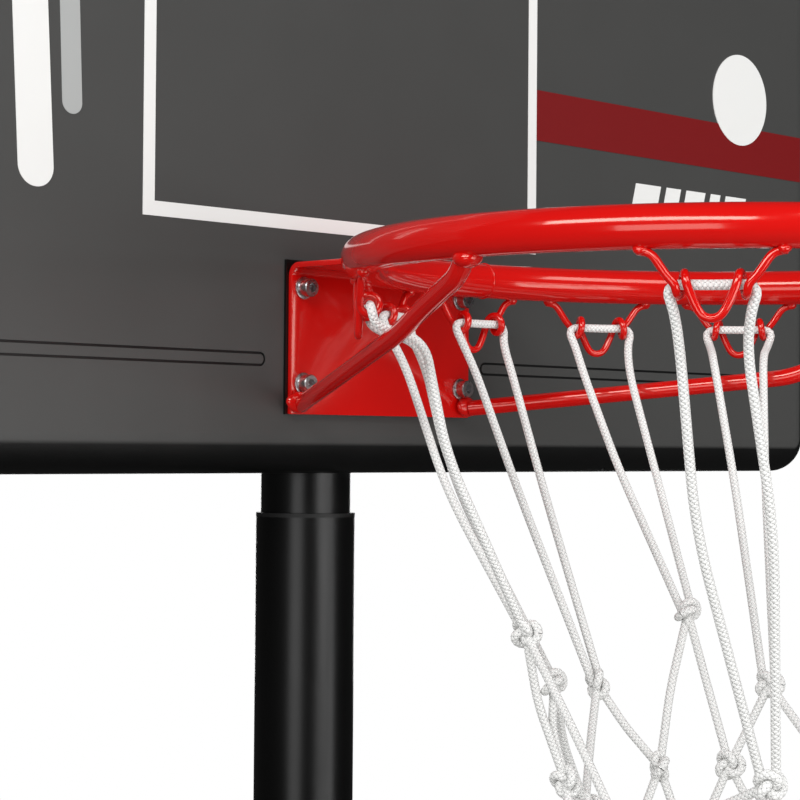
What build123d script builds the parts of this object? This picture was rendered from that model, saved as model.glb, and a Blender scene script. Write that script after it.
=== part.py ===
from build123d import *
import math
import os

# Portable basketball hoop, in millimetres.
# The origin is on the floor under the pole axis. +Z is up, -Y is the court
# side that the board faces, +X is to the right of a player facing the board.
# The pole is at its lowest stop, with the ring 2300 above the floor.

# Heights and reach
RIM_HEIGHT = 2300.0
POLE_TRAVEL = 750.0
POLE_OVERLAP = 337.0
BOARD_FRONT = -76.0
RING_REACH = 317.0

# Ring and its bracket
RING_INNER_DIAMETER = 450.0
RING_TUBE_RADIUS = 12.5
RING_WALL = 2.0
VENT_RADIUS = 2.0
BRACKET_HALF_WIDTH = 92.7
BRACKET_THICKNESS = 4.0
BRACKET_BEND = 9.5
BRACKET_BOTTOM = -97.3
SHELF_TOP = 10.0
BACKING_THICKNESS = 2.0
BACKING_MARGIN = 2.0
RIM_BOLT_X = 82.0
RIM_BOLT_ROWS = (-7.8, -75.7)

# Struts under the ring
STRUT_RADIUS = 6.0
STRUT_FOOT = (88.0, -90.0)
STRUT_RING_ANGLE = 3.0
STRUT_BEND_RADIUS = 60.0
LEFT_STRUT_BEND = (0.65, -49.0)
RIGHT_STRUT_BEND = (0.76, -66.0)

# Net hooks: two groups of five, one behind and one in front of the struts
HOOKS_PER_GROUP = 5
HOOK_GROUPS = ((86.0, 25.8), (267.0, 27.0))
HOOK_WIRE_RADIUS = 2.5
HOOK_FOOT_SPAN = 33.0
HOOK_FOOT_DROP = 10.0
HOOK_TOE_DROP = 36.0
HOOK_EYE_SPAN = 16.5
HOOK_EYE_RADIUS = 6.2
HOOK_EYE_DROP = 31.0
HOOK_EYE_INSET = 5.2
HOOK_LEG_OUTSET = 1.0
HOOK_LOOP_TOP = 29.0
HOOK_LOOP_DROP = 52.0
HOOK_LOOP_RADIUS = 8.0

# Net
CORD_RADIUS = 2.9
CORD_TURN_SPAN = 24.0
CORD_TURN_RADIUS = 5.0
CORD_SHOULDER = (217.0, -66.0)
CORD_SHOULDER_BY_STRUT = (198.0, -52.0)
CORD_SHOULDER_SPAN = 18.0
CORD_SHOULDER_RADIUS = 25.0
CORD_HANG_SHARE = 0.4
CORD_HANG_RADIUS = 60.0
KNOT_RADIUS = 8.0
KNOT_GAP = 0.3
STRAND_PITCH = 7.4

# The first row of knots, one for each hook: degrees round from the hook,
# distance from the middle, and drop below the ring
FIRST_KNOTS = (
    (-12.0, 115.0, -280.0),
    (-11.0, 125.0, -233.0),
    (-10.0, 140.0, -282.0),
    (14.0, 112.0, -272.0),
    (-7.0, 130.0, -238.0),
    (12.0, 138.0, -312.0),
    (6.0, 128.0, -262.0),
    (-4.0, 134.0, -244.0),
    (5.0, 126.0, -270.0),
    (-6.0, 132.0, -250.0),
)

# How each hook's two cords hang slack: how far outwards, and half the space between
CORD_HANGS = (
    (8.0, 12.0),
    (6.0, 14.0),
    (3.0, 11.0),
    (14.0, 10.0),
    (12.0, 9.0),
    (5.0, 20.0),
    (8.0, 14.0),
    (6.0, 12.0),
    (8.0, 14.0),
    (8.0, 12.0),
)

# The lower rows of knots: distance from the middle, and fall below the row above
LOWER_ROWS = ((104.0, -78.0), (95.0, -66.0), (98.0, -58.0))

# Board
BOARD_WIDTH = 1140.0
BOARD_HEIGHT = 750.0
BOARD_BOTTOM = -139.4
BOARD_THICKNESS = 34.0
BOARD_WALL = 4.0
BOARD_CORNER = 30.0
BOARD_EDGE_ROUND = 28.0
BOARD_POST_RADIUS = 13.0
GROOVE_HEIGHT = 8.4
GROOVE_LINE = 1.8
GROOVE_DEPTH = 1.6
GROOVE_CENTRE = -59.1
GROOVE_INNER_END = 113.0
GROOVE_OUTER_END = 478.0

# Board mounts on the pole
MOUNT_PLATE = 4.0
LOWER_MOUNT_CENTRE = -41.8
LOWER_MOUNT_HEIGHT = 112.0
UPPER_MOUNT_CENTRE = 430.0
UPPER_MOUNT_HEIGHT = 64.0
MOUNT_HALF_WIDTH = 105.0
SADDLE_HALF_WIDTH = 28.0
SADDLE_HEIGHT = 40.0
SADDLE_BACK = -20.0
STUD_X = 54.0
STRAP_THICKNESS = 4.0
STRAP_EAR_FRONT = -14.0
STRAP_EAR_HALF_WIDTH = 68.0
STUD_END = 2.0
UPPER_BOLT_X = 85.0
UPPER_BOLT_Z = 20.0

# Fasteners, all M8
M8_RADIUS = 4.0
M8_HOLE_RADIUS = 4.4
NUT_RADIUS = 7.5
NUT_HEIGHT = 6.5
BOLT_TIP = 2.0
WASHER_RADIUS = 8.0
WASHER_THICKNESS = 1.6
CAP_HEAD_RADIUS = 6.5
CAP_HEAD_HEIGHT = 8.0
CAP_SOCKET_RADIUS = 3.6
CAP_SOCKET_DEPTH = 5.0
CARRIAGE_HEAD_RADIUS = 10.0
CARRIAGE_HEAD_HEIGHT = 4.0

# Pole
OUTER_POLE_RADIUS = 37.5
OUTER_POLE_WALL = 1.5
OUTER_POLE_TOP = RIM_HEIGHT - 173.0
POLE_JOINT = 900.0
POLE_SWAGE = 120.0
SWAGE_RADIUS = 35.9
FIT_GAP = 0.5
UPPER_POLE_RADIUS = 34.0
UPPER_POLE_WALL = 1.5
UPPER_POLE_BOTTOM = OUTER_POLE_TOP - POLE_TRAVEL - POLE_OVERLAP
UPPER_POLE_TOP = RIM_HEIGHT + 500.0
RUNNING_GAP = 0.06
BUSH_LENGTH = 50.0
BUSH_LIP = 3.0
GUIDE_LENGTH = 40.0
POLE_CAP_HEIGHT = 14.0
POLE_CAP_PLUG = 30.0

# Height lock screw, on the back of the pole
LOCK_HEIGHT = RIM_HEIGHT - 450.0
LOCK_RADIUS = 6.0
LOCK_BOSS_RADIUS = 12.0
LOCK_BOSS_END = 56.0
LOCK_TIP_GAP = 0.4
LOCK_SCREW_END = 84.0
LOCK_KNOB_RADIUS = 26.0
LOCK_KNOB_START = 66.0
LOCK_KNOB_END = 92.0
LOCK_LOBES = 5
LOCK_LOBE_REACH = 30.0
LOCK_LOBE_RADIUS = 11.0

# Base tank
TANK_BACK = 870.0
TANK_FRONT = -230.0
TANK_HALF_WIDTH = 370.0
NOSE_HALF_WIDTH = 272.0
NOSE_BACK = -66.0
TANK_HEIGHT = 150.0
TANK_TAPER = 9.0
TANK_CORNER = 70.0
TANK_STEP_CORNER = 18.0
TANK_TOP_ROUND = 12.0
TANK_WALL = 5.0
SOCKET_WALL = 8.0
SOCKET_FLOOR = 14.0
FILL_PORT_Y = 760.0
FILL_PORT_RADIUS = 25.0
FILL_NECK_RADIUS = 31.0
FILL_NECK_HEIGHT = 10.0
CAP_RADIUS = 36.0
CAP_HEIGHT = 14.0
CAP_PLUG_DEPTH = 16.0
CAP_GRIP_HALF_LENGTH = 27.0
CAP_GRIP_HALF_WIDTH = 4.0
CAP_GRIP_HEIGHT = 9.0
CAP_GAP = 0.4
SEAL_THICKNESS = 2.0

# Wheels
AXLE_RADIUS = 5.0
AXLE_Y = -150.0
AXLE_HEIGHT = 84.0
AXLE_BOSS_RADIUS = 17.0
AXLE_BOSS_END = 282.0
WHEEL_RADIUS = 75.0
TYRE_INNER_RADIUS = 62.0
TYRE_WIDTH = 40.0
WHEEL_GAP = 0.6
HUB_WIDTH = 46.0
HUB_RADIUS = 16.0
HUB_RIM_INNER_RADIUS = 54.0
HUB_WEB = 6.0
SPOKE_WIDTH = 5.0
SPOKES = 8
AXLE_CAP_RADIUS = 11.0
AXLE_CAP_LENGTH = 8.0
AXLE_CAP_DEPTH = 5.6

# Braces from the pole to the back of the tank
BRACE_RADIUS = 11.0
BRACE_BOLT_HEIGHT = 560.0
BRACE_TAB = 4.0
BRACE_TAB_WIDTH = 26.0
BRACE_TAB_LENGTH = 56.0
BRACE_TAB_OVERLAP = 8.0
BRACE_FOOT = (250.0, 640.0)
BRACE_POST_RADIUS = 18.0
BRACE_SCREW_DEPTH = 70.0

BOARD_BACK = BOARD_FRONT + BOARD_THICKNESS
BRACKET_FRONT = BOARD_FRONT - BACKING_THICKNESS - BRACKET_THICKNESS
BRACKET_BACK = BOARD_FRONT - BACKING_THICKNESS
RING_CENTRE = Vector(0, BOARD_FRONT - RING_REACH, RIM_HEIGHT)
RING_RADIUS = RING_INNER_DIAMETER / 2 + RING_TUBE_RADIUS
BASE_AXES = dict(align=(Align.CENTER, Align.CENTER, Align.MIN))


def rod(start, end, radius):
    """A straight round bar between two points."""
    start = Vector(*start)
    end = Vector(*end)
    plane = Plane(origin=start, z_dir=end - start)
    return plane * Cylinder(radius, (end - start).length, **BASE_AXES)


def tube(low, high, outer, inner):
    """An upright tube on the pole axis."""
    length = high - low
    bore = Cylinder(inner, length, **BASE_AXES)
    return Pos(0, 0, low) * (Cylinder(outer, length, **BASE_AXES) - bore)


def pole_space(low, high):
    """The space of the upper pole between two heights."""
    return Pos(0, 0, low) * Cylinder(UPPER_POLE_RADIUS, high - low, **BASE_AXES)


def block(x, y, z):
    """A box from its (low, high) pair on each axis."""
    size = [pair[1] - pair[0] for pair in (x, y, z)]
    middle = [(pair[0] + pair[1]) / 2 for pair in (x, y, z)]
    return Pos(*middle) * Box(*size)


def hex_prism(start, end, radius):
    """A nut or a bolt head between two points."""
    start = Vector(*start)
    end = Vector(*end)
    plane = Plane(origin=start, z_dir=end - start)
    return extrude(plane * RegularPolygon(radius, 6), amount=(end - start).length)


def bored(shape, start, end, radius):
    return shape - rod(start, end, radius)


def one_solid(shape):
    """The shape as a plain solid."""
    solids = shape.solids()
    return solids[0] if len(solids) == 1 else Compound(solids)


def group(shapes):
    return Compound([solid for shape in shapes for solid in shape.solids()])


def rim_bolt_places():
    """X and Z of the four bolts that hold the bracket on the board."""
    rows = [RIM_HEIGHT + row for row in RIM_BOLT_ROWS]
    return [(x, z) for z in rows for x in (-RIM_BOLT_X, RIM_BOLT_X)]


def upper_bolt_places():
    """X and Z of the four bolts of the upper mount."""
    centre = RIM_HEIGHT + UPPER_MOUNT_CENTRE
    rows = (centre - UPPER_BOLT_Z, centre + UPPER_BOLT_Z)
    return [(x, z) for z in rows for x in (-UPPER_BOLT_X, UPPER_BOLT_X)]


# ---------------------------------------------------------------- ring group

def ring_point(angle, radius, drop):
    """A point at an angle round the ring, in degrees from +X."""
    turn = math.radians(angle)
    offset = Vector(radius * math.cos(turn), radius * math.sin(turn), drop)
    return RING_CENTRE + offset


def ring_outside():
    """The outer surface of the ring as a full solid, to cut weld faces with."""
    return Pos(*RING_CENTRE) * Torus(RING_RADIUS, RING_TUBE_RADIUS)


def make_ring():
    bore = Pos(*RING_CENTRE) * Torus(RING_RADIUS, RING_TUBE_RADIUS - RING_WALL)
    low = ring_point(90, RING_RADIUS, -RING_TUBE_RADIUS - RING_WALL)
    vent = rod(low, low + Vector(0, 0, RING_TUBE_RADIUS), VENT_RADIUS)
    return ring_outside() - bore - vent


def make_rim_bracket():
    """A sheet bent once: a plate on the board and a shelf out to the ring."""
    bottom = RIM_HEIGHT + BRACKET_BOTTOM
    top = RIM_HEIGHT + SHELF_TOP
    reach = RING_CENTRE.Y + RING_RADIUS - RING_TUBE_RADIUS
    corner = (0, BRACKET_BACK, top)
    line = FilletPolyline((0, BRACKET_BACK, bottom), corner, (0, reach, top), radius=BRACKET_BEND)
    inner = FilletPolyline(
        (0, BRACKET_FRONT, bottom),
        (0, BRACKET_FRONT, top - BRACKET_THICKNESS),
        (0, reach, top - BRACKET_THICKNESS),
        radius=BRACKET_BEND - BRACKET_THICKNESS,
    )
    ends = Line(line @ 0, inner @ 0) + Line(line @ 1, inner @ 1)
    profile = make_face(line + inner + ends)
    sheet = extrude(profile, amount=BRACKET_HALF_WIDTH, dir=(1, 0, 0), both=True)
    clearance = Pos(*RING_CENTRE) * Cylinder(RING_RADIUS + RING_TUBE_RADIUS / 2, 2 * BRACKET_BEND + SHELF_TOP)
    sheet = sheet - clearance - ring_outside()
    for x, z in rim_bolt_places():
        sheet = bored(sheet, (x, BRACKET_FRONT - 1, z), (x, BRACKET_BACK + 1, z), M8_HOLE_RADIUS)
    return sheet


def make_backing_plate():
    half = BRACKET_HALF_WIDTH + BACKING_MARGIN
    bottom = RIM_HEIGHT + BRACKET_BOTTOM
    top = RIM_HEIGHT + SHELF_TOP + BACKING_MARGIN
    plate = block((-half, half), (BRACKET_BACK, BOARD_FRONT), (bottom, top))
    for x, z in rim_bolt_places():
        plate = bored(plate, (x, BRACKET_BACK - 1, z), (x, BOARD_FRONT + 1, z), M8_HOLE_RADIUS)
    return plate


def make_strut(side, bend):
    """A bent bar from a lower corner of the plate to the underside of the ring."""
    foot_x, foot_drop = STRUT_FOOT
    foot = Vector(side * foot_x, BRACKET_FRONT - STRUT_RADIUS, RIM_HEIGHT + foot_drop)
    angle = STRUT_RING_ANGLE if side > 0 else 180 - STRUT_RING_ANGLE
    head = ring_point(angle, RING_RADIUS, -RING_TUBE_RADIUS / 2)
    along, drop = bend
    knee = foot + (head - foot) * along
    knee = Vector(knee.X, knee.Y, RIM_HEIGHT + drop)
    path = FilletPolyline(foot, knee, head, radius=STRUT_BEND_RADIUS)
    section = Plane(origin=path @ 0, z_dir=path % 0) * Circle(STRUT_RADIUS)
    return sweep(section, path=path) - ring_outside() - make_strut_wall()


def make_strut_wall():
    """The space of the bracket plate, which the struts are welded against."""
    half = BRACKET_HALF_WIDTH + 2 * STRUT_RADIUS
    low = RIM_HEIGHT + BRACKET_BOTTOM - 2 * STRUT_RADIUS
    return block((-half, half), (BRACKET_FRONT, BOARD_FRONT), (low, RIM_HEIGHT))


def hook_angles():
    middle = (HOOKS_PER_GROUP - 1) / 2
    return [
        centre + pitch * (index - middle)
        for centre, pitch in HOOK_GROUPS
        for index in range(HOOKS_PER_GROUP)
    ]


def hook_frame(angle):
    """A plane at the ring: x along the ring, y down, z towards the ring centre."""
    turn = math.radians(angle)
    tangent = Vector(-math.sin(turn), math.cos(turn), 0)
    inward = Vector(-math.cos(turn), -math.sin(turn), 0)
    return Plane(origin=ring_point(angle, RING_RADIUS, 0), x_dir=tangent, z_dir=inward)


def wire(path):
    section = Plane(origin=path @ 0, z_dir=path % 0) * Circle(HOOK_WIRE_RADIUS)
    return sweep(section, path=path)


def make_hook(angle):
    """A wire hook with two eyes that the cord runs through, and a loop between."""
    frame = hook_frame(angle)
    loop_points = ((-HOOK_EYE_SPAN, HOOK_LOOP_TOP), (0, HOOK_LOOP_DROP), (HOOK_EYE_SPAN, HOOK_LOOP_TOP))
    loop_path = [frame.from_local_coords((x, y, -HOOK_LEG_OUTSET)) for x, y in loop_points]
    hook = wire(FilletPolyline(*loop_path, radius=HOOK_LOOP_RADIUS))
    for side in (-1, 1):
        eye = Location((side * HOOK_EYE_SPAN, HOOK_EYE_DROP, HOOK_EYE_INSET), (0, 90, 0))
        foot = frame.from_local_coords((side * HOOK_FOOT_SPAN, HOOK_FOOT_DROP, -HOOK_LEG_OUTSET))
        toe = frame.from_local_coords((side * HOOK_EYE_SPAN, HOOK_TOE_DROP, -HOOK_LEG_OUTSET / 2))
        hook = hook + frame * eye * Torus(HOOK_EYE_RADIUS, HOOK_WIRE_RADIUS)
        hook = hook + rod(foot, toe, HOOK_WIRE_RADIUS) + Pos(*toe) * Sphere(HOOK_WIRE_RADIUS)
    for end in (loop_path[0], loop_path[2]):
        hook = hook + Pos(*end) * Sphere(HOOK_WIRE_RADIUS)
    return hook - ring_outside()


# ------------------------------------------------------------------- the net

def next_row(row, radius, fall):
    """One knot between each two neighbours of the row above, and lower."""
    made = []
    for i, (angle, _, drop) in enumerate(row):
        next_angle, _, next_drop = row[(i + 1) % len(row)]
        if i == len(row) - 1:
            next_angle = next_angle + 360
        made.append(((angle + next_angle) / 2, radius, (drop + next_drop) / 2 + fall))
    return made


def knot_rows():
    """The place of every knot, row by row from the top."""
    first = [
        (angle + turned, radius, drop)
        for angle, (turned, radius, drop) in zip(hook_angles(), FIRST_KNOTS)
    ]
    rows = [first]
    for radius, fall in LOWER_ROWS:
        rows.append(next_row(rows[-1], radius, fall))
    return [[ring_point(*place) for place in row] for row in rows]


def strand(start, end):
    """A straight length of cord between two knots, clear of both."""
    way = (end - start).normalized()
    room = KNOT_RADIUS + KNOT_GAP
    return rod(start + way * room, end - way * room, CORD_RADIUS)


def top_loop(angle, shoulder_place, hang, knot):
    """Up from the knot, through both eyes of one hook, and down again."""
    frame = hook_frame(angle)
    across = frame.x_dir
    slack, half_space = hang
    turn = ring_point(angle, RING_RADIUS - HOOK_EYE_INSET, -HOOK_EYE_DROP)
    shoulder = ring_point(angle, *shoulder_place)
    hanging = shoulder + (knot - shoulder) * CORD_HANG_SHARE - frame.z_dir * slack
    halves = []
    for side in (-1, 1):
        above = hanging + across * side * half_space
        aim = knot + across * side * STRAND_PITCH / 2
        end = aim - (aim - above).normalized() * (KNOT_RADIUS + KNOT_GAP)
        top = [shoulder + across * side * CORD_SHOULDER_SPAN, turn + across * side * CORD_TURN_SPAN]
        halves.append([end, above, *top])
    corners = halves[0] + halves[1][::-1]
    radii = [CORD_HANG_RADIUS, CORD_SHOULDER_RADIUS, CORD_TURN_RADIUS]
    path = FilletPolyline(*corners, radius=radii + radii[::-1])
    section = Plane(origin=path @ 0, z_dir=path % 0) * Circle(CORD_RADIUS)
    return sweep(section, path=path)


def make_net():
    angles = hook_angles()
    count = len(angles)
    rows = knot_rows()
    pieces = [Pos(*point) * Sphere(KNOT_RADIUS) for row in rows for point in row]
    beside_struts = (0, HOOKS_PER_GROUP - 1)
    for i, angle in enumerate(angles):
        shoulder = CORD_SHOULDER_BY_STRUT if i in beside_struts else CORD_SHOULDER
        pieces.append(top_loop(angle, shoulder, CORD_HANGS[i], rows[0][i]))
    for upper, lower in zip(rows, rows[1:]):
        for i, knot in enumerate(lower):
            pieces.append(strand(upper[i], knot))
            pieces.append(strand(upper[(i + 1) % count], knot))
    return group(pieces)


# --------------------------------------------------------------------- board

def rounded_slab(inset):
    """The board's outline as a slab, pulled in on every side by the inset."""
    width = BOARD_WIDTH - 2 * inset
    height = BOARD_HEIGHT - 2 * inset
    middle = RIM_HEIGHT + BOARD_BOTTOM + BOARD_HEIGHT / 2
    front = Plane(origin=(0, BOARD_FRONT + inset, middle), x_dir=(1, 0, 0), z_dir=(0, 1, 0))
    outline = front * RectangleRounded(width, height, BOARD_CORNER - inset)
    return extrude(outline, amount=BOARD_THICKNESS - 2 * inset)


def groove(side):
    """A shallow closed line in the shape of a long slot."""
    length = GROOVE_OUTER_END - GROOVE_INNER_END
    x = side * (GROOVE_OUTER_END + GROOVE_INNER_END) / 2
    plane = Plane(
        origin=(x, BOARD_FRONT, RIM_HEIGHT + GROOVE_CENTRE), x_dir=(1, 0, 0), z_dir=(0, 1, 0)
    )
    outer = SlotOverall(length + GROOVE_LINE, GROOVE_HEIGHT + GROOVE_LINE)
    inner = SlotOverall(length - GROOVE_LINE, GROOVE_HEIGHT - GROOVE_LINE)
    return extrude(plane * (outer - inner), amount=GROOVE_DEPTH)


def make_board():
    """A hollow blow-moulded board, with solid posts where bolts go through."""
    board = rounded_slab(0)
    front_edges = board.faces().sort_by(Axis.Y)[0].edges()
    board = fillet(front_edges, BOARD_EDGE_ROUND)
    cavity = rounded_slab(BOARD_WALL)
    places = rim_bolt_places() + upper_bolt_places()
    for x, z in places:
        cavity = bored(cavity, (x, BOARD_FRONT, z), (x, BOARD_BACK, z), BOARD_POST_RADIUS)
    inner_front = cavity.faces().sort_by(Axis.Y)[0].outer_wire().edges()
    cavity = fillet(inner_front, BOARD_EDGE_ROUND - BOARD_WALL)
    board = board - cavity
    for x, z in places:
        board = bored(board, (x, BOARD_FRONT - 1, z), (x, BOARD_BACK + 1, z), M8_HOLE_RADIUS)
    for side in (-1, 1):
        board = board - groove(side)
    low = RIM_HEIGHT + BOARD_BOTTOM
    middle = (BOARD_FRONT + BOARD_BACK) / 2
    vent_x = BOARD_WIDTH / 4
    return bored(board, (vent_x, middle, low - 1), (vent_x, middle, low + 2 * BOARD_WALL), VENT_RADIUS)


def make_mount(centre, height, places):
    """A plate on the back of the board with a saddle for the pole and two studs."""
    middle = RIM_HEIGHT + centre
    rows = (middle - height / 2, middle + height / 2)
    back = BOARD_BACK + MOUNT_PLATE
    plate = block((-MOUNT_HALF_WIDTH, MOUNT_HALF_WIDTH), (BOARD_BACK, back), rows)
    saddle_rows = (middle - SADDLE_HEIGHT / 2, middle + SADDLE_HEIGHT / 2)
    saddle = block((-SADDLE_HALF_WIDTH, SADDLE_HALF_WIDTH), (back, SADDLE_BACK), saddle_rows)
    mount = plate + (saddle - pole_space(*saddle_rows))
    for side in (-1, 1):
        x = side * STUD_X
        mount = mount + rod((x, back - 1, middle), (x, STUD_END, middle), M8_RADIUS)
    for x, z in places:
        mount = bored(mount, (x, BOARD_BACK - 1, z), (x, back + 1, z), M8_HOLE_RADIUS)
    return mount


def make_strap(centre):
    """A half band behind the pole with an ear over each stud."""
    middle = RIM_HEIGHT + centre
    low = middle - SADDLE_HEIGHT / 2
    high = middle + SADDLE_HEIGHT / 2
    ear_back = STRAP_EAR_FRONT + STRAP_THICKNESS
    outer = UPPER_POLE_RADIUS + STRAP_THICKNESS
    band = tube(low, high, outer, UPPER_POLE_RADIUS)
    band = band & block((-outer, outer), (STRAP_EAR_FRONT, outer), (low, high))
    ears = block((-STRAP_EAR_HALF_WIDTH, STRAP_EAR_HALF_WIDTH), (STRAP_EAR_FRONT, ear_back), (low, high))
    strap = band + (ears - pole_space(low, high))
    for side in (-1, 1):
        x = side * STUD_X
        strap = bored(strap, (x, STRAP_EAR_FRONT - 1, middle), (x, ear_back + 1, middle), M8_HOLE_RADIUS)
    return strap


# ----------------------------------------------------------------- fasteners

def cap_screw(x, z):
    """A socket head screw through the bracket, the board and the lower mount."""
    seat = BRACKET_FRONT - WASHER_THICKNESS
    front = seat - CAP_HEAD_HEIGHT
    end = BOARD_BACK + MOUNT_PLATE + NUT_HEIGHT + BOLT_TIP
    screw = rod((x, front, z), (x, seat, z), CAP_HEAD_RADIUS) + rod((x, seat - 1, z), (x, end, z), M8_RADIUS)
    return screw - hex_prism((x, front - 1, z), (x, front + CAP_SOCKET_DEPTH, z), CAP_SOCKET_RADIUS)


def washer(x, z):
    disc = rod((x, BRACKET_FRONT - WASHER_THICKNESS, z), (x, BRACKET_FRONT, z), WASHER_RADIUS)
    return bored(disc, (x, BRACKET_FRONT - 3, z), (x, BRACKET_FRONT + 1, z), M8_HOLE_RADIUS)


def nut(start, end):
    """A hexagon nut between two points, bored to the size of its bolt."""
    return hex_prism(start, end, NUT_RADIUS) - rod(start, end, M8_RADIUS)


def board_nut(x, z):
    start = BOARD_BACK + MOUNT_PLATE
    return nut((x, start, z), (x, start + NUT_HEIGHT, z))


def carriage_bolt(x, z):
    """A low round head on the face of the board."""
    front = BOARD_FRONT - CARRIAGE_HEAD_HEIGHT
    end = BOARD_BACK + MOUNT_PLATE + NUT_HEIGHT + BOLT_TIP
    head = rod((x, front, z), (x, BOARD_FRONT, z), CARRIAGE_HEAD_RADIUS)
    rim = head.faces().sort_by(Axis.Y)[0].edges()
    head = fillet(rim, CARRIAGE_HEAD_HEIGHT * 0.7)
    return head + rod((x, BOARD_FRONT - 1, z), (x, end, z), M8_RADIUS)


def strap_nuts():
    start = STRAP_EAR_FRONT + STRAP_THICKNESS
    centres = (RIM_HEIGHT + LOWER_MOUNT_CENTRE, RIM_HEIGHT + UPPER_MOUNT_CENTRE)
    return group(
        nut((x, start, z), (x, start + NUT_HEIGHT, z)) for z in centres for x in (-STUD_X, STUD_X)
    )


def cross_bolt(height, half_length):
    """A hexagon bolt straight through the pole from side to side."""
    head = hex_prism((-half_length - NUT_HEIGHT, 0, height), (-half_length, 0, height), NUT_RADIUS)
    shank = rod((-half_length - 1, 0, height), (half_length + NUT_HEIGHT + BOLT_TIP, 0, height), M8_RADIUS)
    return head + shank


def cross_nut(height, half_length):
    return nut((half_length, 0, height), (half_length + NUT_HEIGHT, 0, height))


# ---------------------------------------------------------------------- pole

def cross_hole(shape, height):
    """A bolt hole through a pole from side to side."""
    reach = OUTER_POLE_RADIUS + 2
    return bored(shape, (-reach, 0, height), (reach, 0, height), M8_HOLE_RADIUS)


def make_lower_pole():
    inner = OUTER_POLE_RADIUS - OUTER_POLE_WALL
    pole = tube(SOCKET_FLOOR, POLE_JOINT, OUTER_POLE_RADIUS, inner)
    pole = cross_hole(pole, POLE_JOINT - POLE_SWAGE / 2)
    return cross_hole(pole, BRACE_BOLT_HEIGHT)


def make_middle_pole():
    """A pole section whose lower end is swaged to fit in the lower pole."""
    inner = OUTER_POLE_RADIUS - OUTER_POLE_WALL
    swage_inner = SWAGE_RADIUS - OUTER_POLE_WALL
    shoulder = POLE_JOINT + 2 * OUTER_POLE_WALL
    pole = tube(POLE_JOINT, OUTER_POLE_TOP, OUTER_POLE_RADIUS, inner)
    pole = pole + tube(POLE_JOINT, shoulder, OUTER_POLE_RADIUS - FIT_GAP, swage_inner)
    pole = pole + tube(POLE_JOINT - POLE_SWAGE, POLE_JOINT, SWAGE_RADIUS, swage_inner)
    pole = cross_hole(pole, POLE_JOINT - POLE_SWAGE / 2)
    return bored(pole, (0, 0, LOCK_HEIGHT), (0, LOCK_BOSS_END, LOCK_HEIGHT), LOCK_RADIUS + FIT_GAP)


def make_bush():
    """A plastic bush in the mouth of the middle pole, with a thin lip on its end."""
    inner = UPPER_POLE_RADIUS + RUNNING_GAP
    body = tube(OUTER_POLE_TOP - BUSH_LENGTH, OUTER_POLE_TOP, OUTER_POLE_RADIUS - OUTER_POLE_WALL, inner)
    return body + tube(OUTER_POLE_TOP, OUTER_POLE_TOP + BUSH_LIP, OUTER_POLE_RADIUS, inner)


def make_upper_pole():
    return tube(UPPER_POLE_BOTTOM, UPPER_POLE_TOP, UPPER_POLE_RADIUS, UPPER_POLE_RADIUS - UPPER_POLE_WALL)


def make_guide_ring():
    """A plastic ring on the foot of the upper pole that runs in the middle pole."""
    outer = OUTER_POLE_RADIUS - OUTER_POLE_WALL - RUNNING_GAP
    return tube(UPPER_POLE_BOTTOM, UPPER_POLE_BOTTOM + GUIDE_LENGTH, outer, UPPER_POLE_RADIUS)


def make_pole_cap():
    cap = Pos(0, 0, UPPER_POLE_TOP) * Cylinder(UPPER_POLE_RADIUS + 1, POLE_CAP_HEIGHT, **BASE_AXES)
    cap = fillet(cap.edges().sort_by(Axis.Z)[-1], POLE_CAP_HEIGHT * 0.6)
    plug_outer = UPPER_POLE_RADIUS - UPPER_POLE_WALL
    plug = tube(UPPER_POLE_TOP - POLE_CAP_PLUG, UPPER_POLE_TOP, plug_outer, plug_outer - 3)
    return cap + plug


def make_lock_boss():
    """A threaded boss welded on the back of the middle pole."""
    boss = rod((0, OUTER_POLE_RADIUS / 2, LOCK_HEIGHT), (0, LOCK_BOSS_END, LOCK_HEIGHT), LOCK_BOSS_RADIUS)
    boss = boss - Pos(0, 0, LOCK_HEIGHT) * Cylinder(OUTER_POLE_RADIUS, 4 * LOCK_BOSS_RADIUS)
    return bored(boss, (0, 0, LOCK_HEIGHT), (0, LOCK_BOSS_END + 1, LOCK_HEIGHT), LOCK_RADIUS + RUNNING_GAP)


def make_lock_screw():
    start = UPPER_POLE_RADIUS + LOCK_TIP_GAP
    return rod((0, start, LOCK_HEIGHT), (0, LOCK_SCREW_END, LOCK_HEIGHT), LOCK_RADIUS)


def make_lock_knob():
    """A lobed hand knob pressed on the end of the screw."""
    start = (0, LOCK_KNOB_START, LOCK_HEIGHT)
    end = (0, LOCK_KNOB_END, LOCK_HEIGHT)
    knob = rod(start, end, LOCK_KNOB_RADIUS)
    for lobe in range(LOCK_LOBES):
        turn = 2 * math.pi * (lobe + 0.5) / LOCK_LOBES
        x = LOCK_LOBE_REACH * math.sin(turn)
        z = LOCK_HEIGHT + LOCK_LOBE_REACH * math.cos(turn)
        knob = knob - rod((x, LOCK_KNOB_START - 1, z), (x, LOCK_KNOB_END + 1, z), LOCK_LOBE_RADIUS)
    return bored(knob, (0, 0, LOCK_HEIGHT), (0, LOCK_SCREW_END, LOCK_HEIGHT), LOCK_RADIUS)


# ---------------------------------------------------------------------- base

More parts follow.
